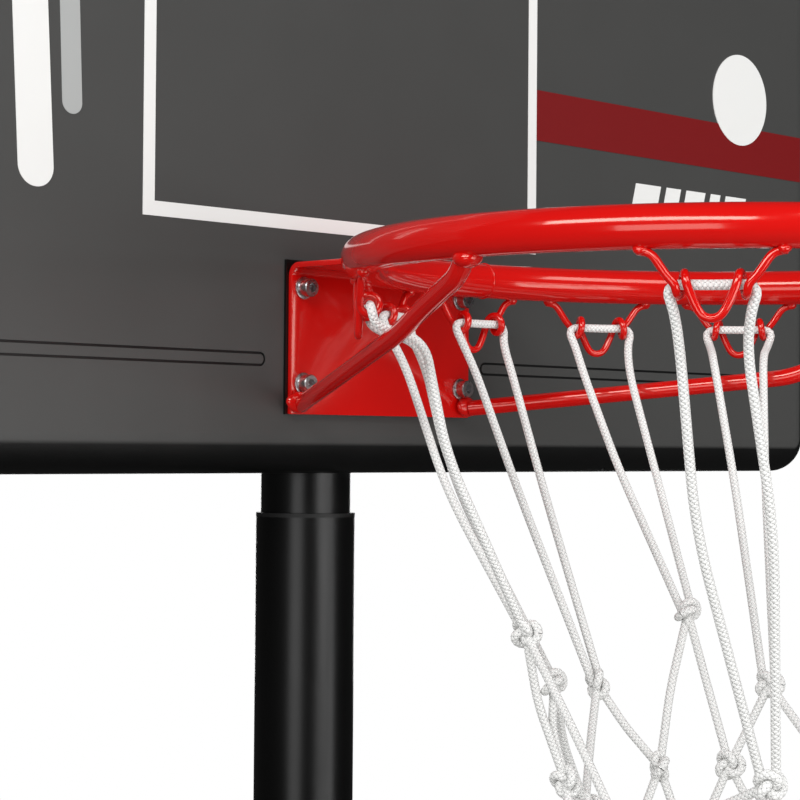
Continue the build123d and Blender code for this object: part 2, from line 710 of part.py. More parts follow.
def tank_outline(inset):
    """The tank's plan: a rounded slab with a narrower nose between the wheels."""
    wide = TANK_HALF_WIDTH - inset
    nose = NOSE_HALF_WIDTH - inset
    front = TANK_FRONT + inset
    back = TANK_BACK - inset
    step = NOSE_BACK + inset
    points = [(-nose, front), (nose, front), (nose, step), (wide, step), (wide, back), (-wide, back)]
    points += [(-wide, step), (-nose, step)]
    plan = make_face(Polyline(*points, close=True))
    rear = plan.vertices().sort_by(Axis.Y)[-2:]
    plan = fillet(rear, TANK_CORNER - inset)
    rest = [v for v in plan.vertices() if v.Y < step + 1]
    return fillet(rest, TANK_STEP_CORNER)


def tank_block(inset, low, high):
    """The tank's body between two heights, narrower towards the top."""
    return Pos(0, 0, low) * extrude(tank_outline(inset), amount=high - low, taper=TANK_TAPER)


def brace_feet():
    x, y = BRACE_FOOT
    return [(-x, y), (x, y)]


def make_tank():
    """A hollow blow-moulded tank for water or sand."""
    tank = tank_block(0, 0, TANK_HEIGHT)
    tank = fillet(tank.faces().sort_by(Axis.Z)[-1].edges(), TANK_TOP_ROUND)
    neck = Pos(0, FILL_PORT_Y, TANK_HEIGHT - 1) * Cylinder(FILL_NECK_RADIUS, FILL_NECK_HEIGHT + 1, **BASE_AXES)
    axle_line = ((-AXLE_BOSS_END, AXLE_Y, AXLE_HEIGHT), (AXLE_BOSS_END, AXLE_Y, AXLE_HEIGHT))
    axle_tunnel = rod(*axle_line, AXLE_BOSS_RADIUS)
    tank = tank + neck + axle_tunnel
    cavity = tank_block(TANK_WALL, TANK_WALL, TANK_HEIGHT - TANK_WALL)
    cavity = cavity - Cylinder(OUTER_POLE_RADIUS + SOCKET_WALL, TANK_HEIGHT, **BASE_AXES) - axle_tunnel
    for x, y in brace_feet():
        cavity = cavity - Pos(x, y, 0) * Cylinder(BRACE_POST_RADIUS, TANK_HEIGHT, **BASE_AXES)
    tank = tank - cavity
    tank = tank - Pos(0, 0, SOCKET_FLOOR) * Cylinder(OUTER_POLE_RADIUS, TANK_HEIGHT, **BASE_AXES)
    tank = tank - rod(*axle_line, AXLE_RADIUS)
    port = Cylinder(FILL_PORT_RADIUS, 3 * FILL_NECK_HEIGHT, **BASE_AXES)
    tank = tank - Pos(0, FILL_PORT_Y, TANK_HEIGHT - 2 * FILL_NECK_HEIGHT) * port
    screw_bottom = TANK_HEIGHT - BRACE_SCREW_DEPTH + BRACE_TAB
    for x, y in brace_feet():
        tank = tank - Pos(x, y, screw_bottom) * Cylinder(M8_RADIUS, BRACE_SCREW_DEPTH, **BASE_AXES)
    return tank


def make_fill_cap():
    """A cap that plugs the filling neck."""
    seat = TANK_HEIGHT + FILL_NECK_HEIGHT + CAP_GAP + SEAL_THICKNESS
    head = Cylinder(CAP_RADIUS, CAP_HEIGHT, **BASE_AXES)
    head = fillet(head.edges().sort_by(Axis.Z)[-1], CAP_HEIGHT / 4)
    plug_length = CAP_PLUG_DEPTH + SEAL_THICKNESS
    plug = Pos(0, 0, -plug_length) * Cylinder(FILL_PORT_RADIUS - CAP_GAP, plug_length, **BASE_AXES)
    grip = block(
        (-CAP_GRIP_HALF_LENGTH, CAP_GRIP_HALF_LENGTH),
        (-CAP_GRIP_HALF_WIDTH, CAP_GRIP_HALF_WIDTH),
        (CAP_HEIGHT - 1, CAP_HEIGHT + CAP_GRIP_HEIGHT),
    )
    return Pos(0, FILL_PORT_Y, seat) * (head + plug + grip)


def make_cap_seal():
    low = TANK_HEIGHT + FILL_NECK_HEIGHT + CAP_GAP
    inner = FILL_PORT_RADIUS - CAP_GAP
    return Pos(0, FILL_PORT_Y, 0) * tube(low, low + SEAL_THICKNESS, FILL_NECK_RADIUS - 1, inner)


def make_brace(side):
    """A tube with both ends flattened into tabs, from the pole to the tank."""
    foot_x, foot_y = BRACE_FOOT
    side_in = side * (OUTER_POLE_RADIUS + FIT_GAP)
    side_out = side_in + side * BRACE_TAB
    fall = Vector(0, foot_y, TANK_HEIGHT - BRACE_BOLT_HEIGHT).normalized()
    middle_x = (side_in + side_out) / 2
    top = Vector(middle_x, 0, BRACE_BOLT_HEIGHT)
    upper = Plane(origin=top, x_dir=(1, 0, 0), z_dir=fall)
    tab_sketch = Pos(0, 0, -BRACE_TAB_WIDTH / 2) * Box(
        BRACE_TAB, BRACE_TAB_WIDTH, BRACE_TAB_LENGTH + BRACE_TAB_WIDTH / 2, **BASE_AXES
    )
    tab = upper * tab_sketch
    start = top + fall * (BRACE_TAB_LENGTH - BRACE_TAB_OVERLAP)
    foot_low = TANK_HEIGHT
    end = Vector(side * foot_x, foot_y - BRACE_TAB_LENGTH + BRACE_TAB_OVERLAP, foot_low + BRACE_RADIUS)
    body = rod(start, end, BRACE_RADIUS)
    foot = block(
        (side * foot_x - BRACE_TAB_WIDTH / 2, side * foot_x + BRACE_TAB_WIDTH / 2),
        (foot_y - BRACE_TAB_LENGTH, foot_y + BRACE_TAB_WIDTH / 2),
        (foot_low, foot_low + BRACE_TAB),
    )
    brace = tab + body + foot
    pole_side = Pos(0, 0, BRACE_BOLT_HEIGHT) * Cylinder(OUTER_POLE_RADIUS + FIT_GAP, 4 * BRACE_TAB_LENGTH)
    tank_space = block((-TANK_HALF_WIDTH, TANK_HALF_WIDTH), (TANK_FRONT, TANK_BACK), (0, TANK_HEIGHT))
    brace = brace - pole_side - tank_space
    brace = bored(brace, (0, 0, BRACE_BOLT_HEIGHT), (2 * side_out, 0, BRACE_BOLT_HEIGHT), M8_HOLE_RADIUS)
    x = side * foot_x
    return bored(brace, (x, foot_y, foot_low - 1), (x, foot_y, foot_low + BRACE_TAB + 1), M8_HOLE_RADIUS)


def brace_screw(x, y):
    """A hexagon screw down through a brace tab into a post of the tank."""
    seat = TANK_HEIGHT + BRACE_TAB
    head = hex_prism((x, y, seat), (x, y, seat + NUT_HEIGHT), NUT_RADIUS)
    return head + rod((x, y, seat - BRACE_SCREW_DEPTH + BRACE_TAB), (x, y, seat + 1), M8_RADIUS)


# -------------------------------------------------------------------- wheels

def across(side, near, far, radius):
    """A bar on the axle line between two distances from the middle."""
    return rod((side * near, AXLE_Y, AXLE_HEIGHT), (side * far, AXLE_Y, AXLE_HEIGHT), radius)


def wheel_start():
    return AXLE_BOSS_END + WHEEL_GAP


def tyre_limits():
    start = wheel_start() + (HUB_WIDTH - TYRE_WIDTH) / 2
    return start, start + TYRE_WIDTH


def make_axle():
    half = wheel_start() + HUB_WIDTH + WHEEL_GAP + AXLE_CAP_DEPTH
    return rod((-half, AXLE_Y, AXLE_HEIGHT), (half, AXLE_Y, AXLE_HEIGHT), AXLE_RADIUS)


def make_hub(side):
    """A plastic wheel: a boss, a thin web with spokes, and a rim for the tyre."""
    near, far = tyre_limits()
    middle = (near + far) / 2
    rim = across(side, near, far, TYRE_INNER_RADIUS) - across(side, near - 1, far + 1, HUB_RIM_INNER_RADIUS)
    web = across(side, middle - HUB_WEB / 2, middle + HUB_WEB / 2, HUB_RIM_INNER_RADIUS + 1)
    boss = across(side, wheel_start(), wheel_start() + HUB_WIDTH, HUB_RADIUS)
    hub = rim + web + boss
    for spoke in range(SPOKES):
        plane = Pos(side * middle, AXLE_Y, AXLE_HEIGHT) * Rot(360 * spoke / SPOKES, 0, 0)
        bar = Box(TYRE_WIDTH * 0.7, SPOKE_WIDTH, HUB_RIM_INNER_RADIUS + 1, **BASE_AXES)
        hub = hub + plane * bar
    return hub - across(side, near - HUB_WIDTH, far + HUB_WIDTH, AXLE_RADIUS + RUNNING_GAP)


def make_tyre(side):
    near, far = tyre_limits()
    tyre = across(side, near, far, WHEEL_RADIUS)
    shoulders = [edge for edge in tyre.edges() if edge.geom_type == GeomType.CIRCLE]
    tyre = fillet(shoulders, TYRE_WIDTH / 5)
    return tyre - across(side, near - 1, far + 1, TYRE_INNER_RADIUS)


def make_axle_cap(side):
    start = wheel_start() + HUB_WIDTH + WHEEL_GAP
    end = start + AXLE_CAP_LENGTH
    cap = across(side, start, end, AXLE_CAP_RADIUS)
    return cap - across(side, start - 1, start + AXLE_CAP_DEPTH, AXLE_RADIUS)


# ------------------------------------------------------------------ assembly

def nodes():
    """Every node's name and shape."""
    lower_places = rim_bolt_places()
    upper_places = upper_bolt_places()
    tab_reach = OUTER_POLE_RADIUS + FIT_GAP + BRACE_TAB
    parts = {
        "base_tank": make_tank(),
        "fill_cap": make_fill_cap(),
        "fill_cap_seal": make_cap_seal(),
        "wheel_axle": make_axle(),
        "lower_pole": make_lower_pole(),
        "middle_pole": make_middle_pole(),
        "pole_bush": make_bush(),
        "upper_pole": make_upper_pole(),
        "guide_ring": make_guide_ring(),
        "pole_cap": make_pole_cap(),
        "pole_joint_bolt": cross_bolt(POLE_JOINT - POLE_SWAGE / 2, OUTER_POLE_RADIUS),
        "pole_joint_nut": cross_nut(POLE_JOINT - POLE_SWAGE / 2, OUTER_POLE_RADIUS),
        "lock_boss": make_lock_boss(),
        "lock_screw": make_lock_screw(),
        "lock_knob": make_lock_knob(),
        "brace_left": make_brace(-1),
        "brace_right": make_brace(1),
        "brace_bolt": cross_bolt(BRACE_BOLT_HEIGHT, tab_reach),
        "brace_nut": cross_nut(BRACE_BOLT_HEIGHT, tab_reach),
        "brace_screws": group(brace_screw(x, y) for x, y in brace_feet()),
        "board": make_board(),
        "lower_mount": make_mount(LOWER_MOUNT_CENTRE, LOWER_MOUNT_HEIGHT, lower_places),
        "upper_mount": make_mount(UPPER_MOUNT_CENTRE, UPPER_MOUNT_HEIGHT, upper_places),
        "lower_strap": make_strap(LOWER_MOUNT_CENTRE),
        "upper_strap": make_strap(UPPER_MOUNT_CENTRE),
        "strap_nuts": strap_nuts(),
        "board_bolts": group(carriage_bolt(x, z) for x, z in upper_places),
        "board_nuts": group(board_nut(x, z) for x, z in upper_places),
        "backing_plate": make_backing_plate(),
        "rim_bracket": make_rim_bracket(),
        "ring": make_ring(),
        "strut_left": make_strut(-1, LEFT_STRUT_BEND),
        "strut_right": make_strut(1, RIGHT_STRUT_BEND),
        "rim_screws": group(cap_screw(x, z) for x, z in lower_places),
        "rim_washers": group(washer(x, z) for x, z in lower_places),
        "rim_nuts": group(board_nut(x, z) for x, z in lower_places),
        "net": make_net(),
    }
    for name, side in (("left", -1), ("right", 1)):
        parts[f"wheel_{name}"] = make_hub(side)
        parts[f"tyre_{name}"] = make_tyre(side)
        parts[f"axle_cap_{name}"] = make_axle_cap(side)
    for index, angle in enumerate(hook_angles()):
        parts[f"net_hook_{index + 1}"] = make_hook(angle)
    return parts


def main():
    os.makedirs("parts", exist_ok=True)
    for name, shape in nodes().items():
        export_step(one_solid(shape), f"parts/{name}.step")
        print(name, len(shape.solids()))


main()
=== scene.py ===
# %% [markdown]
# # A portable basketball hoop
# The engineered model of the hoop is loaded first and never changed. It gives every
# place and size. Each visible part then gets a finely shaped mesh of its own, which
# rides on the body that it belongs to, or a better finish on the engineered one.

# %% Load the frame
import bmesh
import bpy
import math
import random
from mathutils import Matrix, Vector


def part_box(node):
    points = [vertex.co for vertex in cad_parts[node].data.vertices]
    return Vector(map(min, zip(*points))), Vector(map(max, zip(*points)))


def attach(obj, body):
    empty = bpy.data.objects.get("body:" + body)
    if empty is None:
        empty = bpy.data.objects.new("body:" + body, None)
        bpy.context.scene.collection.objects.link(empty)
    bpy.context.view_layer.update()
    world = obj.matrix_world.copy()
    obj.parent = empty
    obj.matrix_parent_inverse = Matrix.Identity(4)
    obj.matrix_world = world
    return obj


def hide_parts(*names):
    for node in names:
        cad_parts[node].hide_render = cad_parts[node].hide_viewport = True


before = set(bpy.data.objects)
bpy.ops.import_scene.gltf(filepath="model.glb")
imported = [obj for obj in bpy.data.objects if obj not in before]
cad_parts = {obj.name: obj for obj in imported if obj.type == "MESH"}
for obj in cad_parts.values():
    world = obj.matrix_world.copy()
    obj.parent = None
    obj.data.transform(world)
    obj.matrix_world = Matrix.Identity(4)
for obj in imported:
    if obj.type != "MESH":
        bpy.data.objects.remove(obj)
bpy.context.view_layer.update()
MM = 0.001
print("nodes:", len(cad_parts))

# %% [markdown]
# ## Places
# The ring is the centre of everything that a player looks at, so its centre and its
# size are read from the frame first. Lengths below are in millimetres, turned to
# metres by MM, because that is how the real parts are drawn.

# %% Read the ring and the board
ring_low, ring_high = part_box("ring")
RING_CENTRE = (ring_low + ring_high) / 2
RING_TUBE = (ring_high.z - ring_low.z) / 2
RING_RADIUS = (ring_high.x - ring_low.x) / 2 - RING_TUBE
board_low, board_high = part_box("board")
BOARD_FRONT = board_low.y
print("ring centre", RING_CENTRE, "radius", round(RING_RADIUS, 4))
print("board front at y =", round(BOARD_FRONT, 4))

# %% [markdown]
# ## The camera
# A long lens stands to the left of the court side and a little under the ring, and
# looks up past the near side of the ring at the corner of the board. The three turns
# are a pan to the right, a small tilt up and a slight roll.

# %% Make the camera
LENS_MM = 100.4
CAMERA_FROM_RING = Vector((-1.1679, -0.8368, -0.1188))
PAN = math.radians(45.92)
TILT = math.radians(1.17)
ROLL = math.radians(0.45)

camera_data = bpy.data.cameras.new("camera")
camera_data.lens = LENS_MM
camera = bpy.data.objects.new("camera", camera_data)
bpy.context.scene.collection.objects.link(camera)
turn = Matrix.Rotation(-PAN, 4, "Z") @ Matrix.Rotation(math.pi / 2 + TILT, 4, "X")
turn = turn @ Matrix.Rotation(ROLL, 4, "Z")
camera.matrix_world = Matrix.Translation(RING_CENTRE + CAMERA_FROM_RING) @ turn
bpy.context.scene.camera = camera
print("camera at", tuple(round(x, 3) for x in camera.matrix_world.translation))

# %% [markdown]
# ## Colour and nodes
# Colours are written as the hex values that a paint chart gives, and one function
# turns them into the linear values that the renderer works in. One more function
# adds a shader node with its settings and links, so that a material reads as a list.
# Real surfaces are never even, so two effects are shared: a fine grain, and a slow
# clouding of the gloss. Both have their sizes in millimetres of the real object.


# %% Colour and node helpers
def colour(hex_code):
    """An sRGB hex value as linear red, green, blue and alpha."""
    parts = [int(hex_code[i:i + 2], 16) / 255 for i in (1, 3, 5)]
    linear = [c / 12.92 if c <= 0.04045 else ((c + 0.055) / 1.055) ** 2.4 for c in parts]
    return (*linear, 1.0)


def add(tree, kind, inputs=None, **settings):
    """A node with its settings, and its inputs set to values or linked to sockets."""
    node = tree.nodes.new(kind)
    for name, value in settings.items():
        setattr(node, name, value)
    for name, value in (inputs or {}).items():
        if isinstance(value, bpy.types.NodeSocket):
            tree.links.new(value, node.inputs[name])
        else:
            node.inputs[name].default_value = value
    return node


def material(name, hex_code, roughness, **more):
    """A new material with one Principled shader, and its tree and shader."""
    made = bpy.data.materials.new(name)
    made.use_nodes = True
    tree = made.node_tree
    shader = next(node for node in tree.nodes if node.type == "BSDF_PRINCIPLED")
    shader.inputs["Base Color"].default_value = colour(hex_code)
    shader.inputs["Roughness"].default_value = roughness
    for socket, value in more.items():
        shader.inputs[socket.replace("_", " ")].default_value = value
    return made, tree, shader


def grain(tree, shader, size_mm, depth_mm, detail):
    """Raises a fine relief, with bumps of about this size and depth."""
    place = add(tree, "ShaderNodeTexCoord")
    bumps = add(tree, "ShaderNodeTexNoise", {
        "Vector": place.outputs["Object"], "Scale": 1.0 / (size_mm * MM), "Detail": detail,
    })
    relief = add(tree, "ShaderNodeBump", {"Height": bumps.outputs["Fac"], "Distance": depth_mm * MM})
    tree.links.new(relief.outputs["Normal"], shader.inputs["Normal"])


def clouding(tree, shader, size_mm, low, high, detail=2.0):
    """Lets the roughness drift between two values, in patches of about this size."""
    place = add(tree, "ShaderNodeTexCoord")
    cloud = add(tree, "ShaderNodeTexNoise", {
        "Vector": place.outputs["Object"], "Scale": 1.0 / (size_mm * MM), "Detail": detail,
    })
    level = add(tree, "ShaderNodeMapRange", {"Value": cloud.outputs["Fac"], "To Min": low, "To Max": high})
    tree.links.new(level.outputs["Result"], shader.inputs["Roughness"])


def tint(tree, shader, factor, dark, light):
    """Mixes the base colour between two hex values."""
    mix = add(tree, "ShaderNodeMix", data_type="RGBA")
    tree.links.new(factor, mix.inputs["Factor"])
    mix.inputs["A"].default_value = colour(dark)
    mix.inputs["B"].default_value = colour(light)
    colours = [o for o in mix.outputs if o.type == "RGBA"]
    tree.links.new(colours[0], shader.inputs["Base Color"])


print("white is", colour("#FFFFFF"))

# %% [markdown]
# ## Paint and plate
# Powder coat is a polyester paint baked on as dust. It is glossy with a faint orange
# peel a couple of millimetres across. Zinc plate is bright steel with slight
# clouding. A texture could be wrapped round each piece, but noise in the object's own
# space needs no unwrapping and keeps its size on every piece.


# %% Paints and metals
def red_powder_coat():
    """Gloss red polyester powder coat on steel: deep colour, soft orange peel."""
    made, tree, shader = material(
        "red_powder_coat", "#CE0E0B", 0.14, IOR=1.6, Coat_Weight=0.5, Coat_Roughness=0.05,
        Specular_Tint=(1.0, 0.86, 0.7, 1.0),
    )
    grain(tree, shader, 2.5, 0.012, 1.0)
    clouding(tree, shader, 60.0, 0.1, 0.18)
    return made


def black_powder_coat():
    """Satin black polyester powder coat on steel tube: a soft broad shine."""
    made, tree, shader = material("satin_black_powder_coat", "#050505", 0.3, IOR=1.5)
    grain(tree, shader, 1.6, 0.015, 1.0)
    clouding(tree, shader, 90.0, 0.26, 0.36)
    return made


def zinc_plate():
    """Bright zinc plate on steel screws: a hard shine with slight clouding."""
    made, tree, shader = material("bright_zinc_plate", "#C9CACB", 0.26, Metallic=1.0)
    clouding(tree, shader, 3.0, 0.18, 0.4, 3.0)
    return made


RED = red_powder_coat()
BLACK = black_powder_coat()
ZINC = zinc_plate()
print("metal finishes:", RED.name, BLACK.name, ZINC.name)

# %% [markdown]
# ## Plastics, rubber and ink
# The tank and the board are polyethylene, blown or pressed in a mould, and the small
# parts are nylon. All are matte with a fine grain. The board has one more thing: its
# flat face is charcoal, and everything a little behind that face, the rounded edge and
# the back, is painted near black as painted shade, chosen by depth behind the face.
# Painting the faces one by one would work too, but the depth needs no selection.


# %% Plastics, rubber and ink
BOARD_CHARCOAL = "#434342"
# Painted shade: near black for the board's rounded edge and back.
BOARD_EDGE_PAINTED_SHADE = "#0B0B0B"
FACE_DEPTH_MM = 0.6
DUST_PATCH_MM = 20.0


def moulded_plastic(name, hex_code, grain_mm, depth_mm, rough):
    """Matte polyethylene with the fine grain of a blow mould, drawn a little coarse."""
    made, tree, shader = material(name, hex_code, rough, IOR=1.5)
    grain(tree, shader, grain_mm, depth_mm, 3.0)
    clouding(tree, shader, 45.0, rough - 0.05, rough + 0.07)
    return made


def board_plastic():
    """The board's face is charcoal, and its rounded edge and back are painted near black as painted shade.
    """
    made = moulded_plastic("charcoal_board_polyethylene", BOARD_CHARCOAL, 1.0, 0.05, 0.42)
    tree = made.node_tree
    shader = next(node for node in tree.nodes if node.type == "BSDF_PRINCIPLED")
    place = add(tree, "ShaderNodeTexCoord")
    depth = add(tree, "ShaderNodeSeparateXYZ", {"Vector": place.outputs["Object"]})
    # Painted shade: near black a little behind the flat face, on the rounded edge and back.
    behind = add(tree, "ShaderNodeMapRange", {
        "Value": depth.outputs["Y"],
        "From Min": BOARD_FRONT + FACE_DEPTH_MM * MM,
        "From Max": BOARD_FRONT + 2 * FACE_DEPTH_MM * MM,
    })
    tint(tree, shader, behind.outputs["Result"], BOARD_CHARCOAL, BOARD_EDGE_PAINTED_SHADE)
    return made


def rubber():
    """Vulcanised black rubber: dull, a little dusty."""
    made, tree, shader = material("vulcanised_rubber", "#1C1C1C", 0.8)
    place = add(tree, "ShaderNodeTexCoord")
    dust = add(tree, "ShaderNodeTexNoise", {
        "Vector": place.outputs["Object"], "Scale": 1.0 / (DUST_PATCH_MM * MM), "Detail": 4.0,
    })
    tint(tree, shader, dust.outputs["Fac"], "#121212", "#232322")
    return made


def ink(name, hex_code):
    """Screen-printing ink on plastic: flat colour with a fine uneven film."""
    made, tree, shader = material(name, hex_code, 0.42)
    grain(tree, shader, 1.2, 0.01, 2.0)
    clouding(tree, shader, 1.2, 0.36, 0.5)
    return made


BOARD = board_plastic()
TANK = moulded_plastic("black_tank_polyethylene", "#222223", 1.4, 0.12, 0.55)
PLASTIC = moulded_plastic("black_moulded_nylon", "#181818", 0.9, 0.04, 0.48)
RUBBER = rubber()
WHITE_INK = ink("white_screen_ink", "#E9E9E7")
GREY_INK = ink("grey_screen_ink", "#A9ABAA")
RED_INK = ink("dark_red_screen_ink", "#78060A")
print("materials so far:", len(bpy.data.materials))

# %% [markdown]
# ## Braided cord
# The net's cord is braided from white polyester: two sets of plaits cross round it and
# leave small hollows between, painted grey as painted shade. Two crossed sine waves on
# the cord's own UV draw the plaits and that shade. U is in metres, so the plaits keep
# their real length however long a cord is.

# %% Braid the cord's finish
CORD_MM = 5.8
PLAITS_ROUND = 4
PLAIT_PITCH_MM = 3.0
PLAIT_DEPTH_MM = 0.7
CORD_WHITE = "#F1F1EF"
# Painted shade in the hollows between the plaits.
HOLLOW_PAINTED_SHADE = "#6E7074"


def braided_cord():
    """Braided polyester cord: white plaits in diamonds, with painted grey shade in the hollows between."""
    made, tree, shader = material("braided_polyester_cord", CORD_WHITE, 0.7, Sheen_Weight=0.15)
    braid = add(tree, "ShaderNodeUVMap", uv_map="along")
    split = add(tree, "ShaderNodeSeparateXYZ", {"Vector": braid.outputs["UV"]})
    waves_per_metre = 0.5 / (PLAIT_PITCH_MM * MM)
    along = add(tree, "ShaderNodeMath", {0: split.outputs["X"], 1: waves_per_metre}, operation="MULTIPLY")
    waves_round = PLAITS_ROUND / 2.0
    around = add(tree, "ShaderNodeMath", {0: split.outputs["Y"], 1: waves_round}, operation="MULTIPLY")
    both = {0: along.outputs[0], 1: around.outputs[0]}
    crests = {}
    for number, operation in enumerate(("ADD", "SUBTRACT")):
        slant = add(tree, "ShaderNodeMath", both, operation=operation)
        angle = add(tree, "ShaderNodeMath", {0: slant.outputs[0], 1: math.tau}, operation="MULTIPLY")
        wave = add(tree, "ShaderNodeMath", {0: angle.outputs[0]}, operation="SINE")
        crest = add(tree, "ShaderNodeMath", {0: wave.outputs[0]}, operation="ABSOLUTE")
        crests[number] = crest.outputs[0]
    plait = add(tree, "ShaderNodeMath", crests, operation="MULTIPLY")
    relief = add(tree, "ShaderNodeBump", {"Height": plait.outputs[0], "Distance": PLAIT_DEPTH_MM * MM})
    tree.links.new(relief.outputs["Normal"], shader.inputs["Normal"])
    # Where both plait waves are low, the colour is painted grey as painted shade in the hollow.
    hollow = add(tree, "ShaderNodeMath", crests, operation="MAXIMUM")
    shade = add(tree, "ShaderNodeMapRange", {"Value": hollow.outputs[0], "From Min": 0.1, "From Max": 0.55})
    tint(tree, shader, shade.outputs["Result"], HOLLOW_PAINTED_SHADE, CORD_WHITE)
    return made


CORD = braided_cord()
print("materials:", len(bpy.data.materials))

# %% [markdown]
# ## Making a piece
# Every piece starts as a bmesh at its real place. These helpers turn a bmesh into an
# object at the origin, give it its finish, hide the engineered parts that it stands for,
# and let it ride on its body.

# %% Piece helpers
FLAT_ANGLE = math.radians(35)


def piece(name, bm, finish, body, stands_for=()):
    """The bmesh as a finished object that rides on a body."""
    mesh = bpy.data.meshes.new(name)
    for face in bm.faces:
        face.smooth = True
    for edge in bm.edges:
        if len(edge.link_faces) == 2:
            edge.smooth = edge.calc_face_angle(0.0) < FLAT_ANGLE
    bm.to_mesh(mesh)
    bm.free()
    mesh.materials.append(finish)
    made = bpy.data.objects.new(name, mesh)
    bpy.context.scene.collection.objects.link(made)
    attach(made, body)
    if stands_for:
        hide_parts(*stands_for)
    return made


def outward(bm):
    """Merges doubled points and turns every face outwards."""
    bmesh.ops.remove_doubles(bm, verts=bm.verts, dist=1e-6)
    bmesh.ops.recalc_face_normals(bm, faces=bm.faces)
    return bm


def soften(bm, edges, radius_mm, segments=3):
    """Rounds some edges."""
    bmesh.ops.bevel(
        bm, geom=edges, offset=radius_mm * MM, segments=segments, profile=0.5,
        affect="EDGES", material=-1, clamp_overlap=True,
    )


def sharp_edges(bm, angle=FLAT_ANGLE):
    """The edges where two faces meet at more than this angle."""
    return [e for e in bm.edges if len(e.link_faces) == 2 and e.calc_face_angle(0.0) > angle]


def join(target, source):
    """Adds one bmesh to another and frees it."""
    holder = bpy.data.meshes.new("join")
    source.to_mesh(holder)
    source.free()
    target.from_mesh(holder)
    bpy.data.meshes.remove(holder)


print("edges stay smooth below", round(math.degrees(FLAT_ANGLE)), "degrees")

# %% [markdown]
# ## Bars, wires and cords
# A bent bar and a cord are the same kind of shape: a circle carried along a smooth
# line. The line is a spline through a few points, read back as even steps. A flat
# grid is then rolled round it, so that U runs along the cord in metres and V runs
# once round it, which is what the braid needs.


# %% Lines and tubes
LINE_RESOLUTION = 10


def smooth_line(points, order=3):
    """The line of a spline with these control points."""
    curve = bpy.data.curves.new("line", "CURVE")
    curve.dimensions = "3D"
    curve.resolution_u = LINE_RESOLUTION
    spline = curve.splines.new("NURBS")
    spline.points.add(len(points) - 1)
    for place, point in zip(spline.points, points):
        place.co = (*point, 1.0)
    spline.use_endpoint_u = True
    spline.order_u = order
    holder = bpy.data.objects.new("line", curve)
    mesh = bpy.data.meshes.new_from_object(holder)
    line = [vertex.co.copy() for vertex in mesh.vertices]
    bpy.data.objects.remove(holder)
    bpy.data.curves.remove(curve)
    bpy.data.meshes.remove(mesh)
    return line


def even_steps(line, step_mm):
    """The same line in steps of about one length."""
    lengths = [0.0]
    for a, b in zip(line, line[1:]):
        lengths.append(lengths[-1] + (b - a).length)
    count = max(2, round(lengths[-1] / (step_mm * MM)))
    made = []
    at = 0
    for step in range(count + 1):
        goal = lengths[-1] * step / count
        while at < len(line) - 2 and lengths[at + 1] < goal:
            at += 1
        part = lengths[at + 1] - lengths[at]
        made.append(line[at].lerp(line[at + 1], (goal - lengths[at]) / part if part else 0.0))
    return made


def line_frames(line):
    """Each point of a line with two ways square to it, and the line's length."""
    frames = []
    side = None
    length = 0.0
    for index, point in enumerate(line):
        before = line[max(index - 1, 0)]
        after = line[min(index + 1, len(line) - 1)]
        way = (after - before).normalized()
        side = way.orthogonal() if side is None else side - way * side.dot(way)
        side.normalize()
        length += (point - before).length
        frames.append((point, side.copy(), way.cross(side)))
    return frames, length


def tube(line, radius, sides=12):
    """A tube along a line. It closes on itself where the line's ends meet."""
    bm = bmesh.new()
    uv = bm.loops.layers.uv.new("along")
    steps = len(line) - 1
    bmesh.ops.create_grid(bm, x_segments=steps, y_segments=sides, size=0.5, calc_uvs=True)
    frames, length = line_frames(line)
    for face in bm.faces:
        for loop in face.loops:
            loop[uv].uv.x *= length
    for vertex in bm.verts:
        point, side_way, up_way = frames[round((vertex.co.x + 0.5) * steps)]
        angle = math.tau * (vertex.co.y + 0.5)
        vertex.co = point + (side_way * math.cos(angle) + up_way * math.sin(angle)) * radius
    bmesh.ops.remove_doubles(bm, verts=bm.verts, dist=radius * 0.01)
    rims = [edge for edge in bm.edges if edge.is_boundary]
    bmesh.ops.holes_fill(bm, edges=rims, sides=0)
    bmesh.ops.recalc_face_normals(bm, faces=bm.faces)
    return bm


def ring_point(angle, radius_mm, drop_mm):
    """A point at an angle round the ring, in degrees from +X."""
    turned = math.radians(angle)
    flat = Vector((math.cos(turned), math.sin(turned), 0)) * radius_mm * MM
    return RING_CENTRE + flat + Vector((0, 0, drop_mm * MM))


def beside_ring(angle, along_mm, inset_mm, drop_mm):
    """A point near the ring: along it, in from its centre line, and up or down."""
    turned = math.radians(angle)
    tangent = Vector((-math.sin(turned), math.cos(turned), 0))
    return ring_point(angle, RING_RADIUS / MM - inset_mm, drop_mm) + tangent * along_mm * MM


bend = smooth_line([Vector((0, 0, 0)), Vector((1, 0, 0)), Vector((1, 1, 0))])
print("a bent line a metre each way is read as", len(bend), "points")

# %% [markdown]
# ## The ring
# The ring is a steel tube rolled into a circle and welded to itself. A small circle
# is spun all the way round for the tube, and a thin raised bead shows where its two
# ends were joined.

# %% Spin the ring
RING_SIDES = 32
RING_STEPS = 192
SEAM_ANGLE = 84.0
SEAM_BEAD_MM = 0.6


def spun_ring(radius, tube_radius, sides, steps):
    """A circle spun round an upright axis into a closed ring."""
    bm = bmesh.new()
    stand = Matrix.Translation((radius, 0, 0)) @ Matrix.Rotation(math.pi / 2, 4, "X")
    bmesh.ops.create_circle(bm, segments=sides, radius=tube_radius, matrix=stand)
    bmesh.ops.spin(
        bm, geom=bm.verts[:] + bm.edges[:], cent=(0, 0, 0), axis=(0, 0, 1),
        angle=math.tau, steps=steps, use_merge=True,
    )
    return outward(bm)


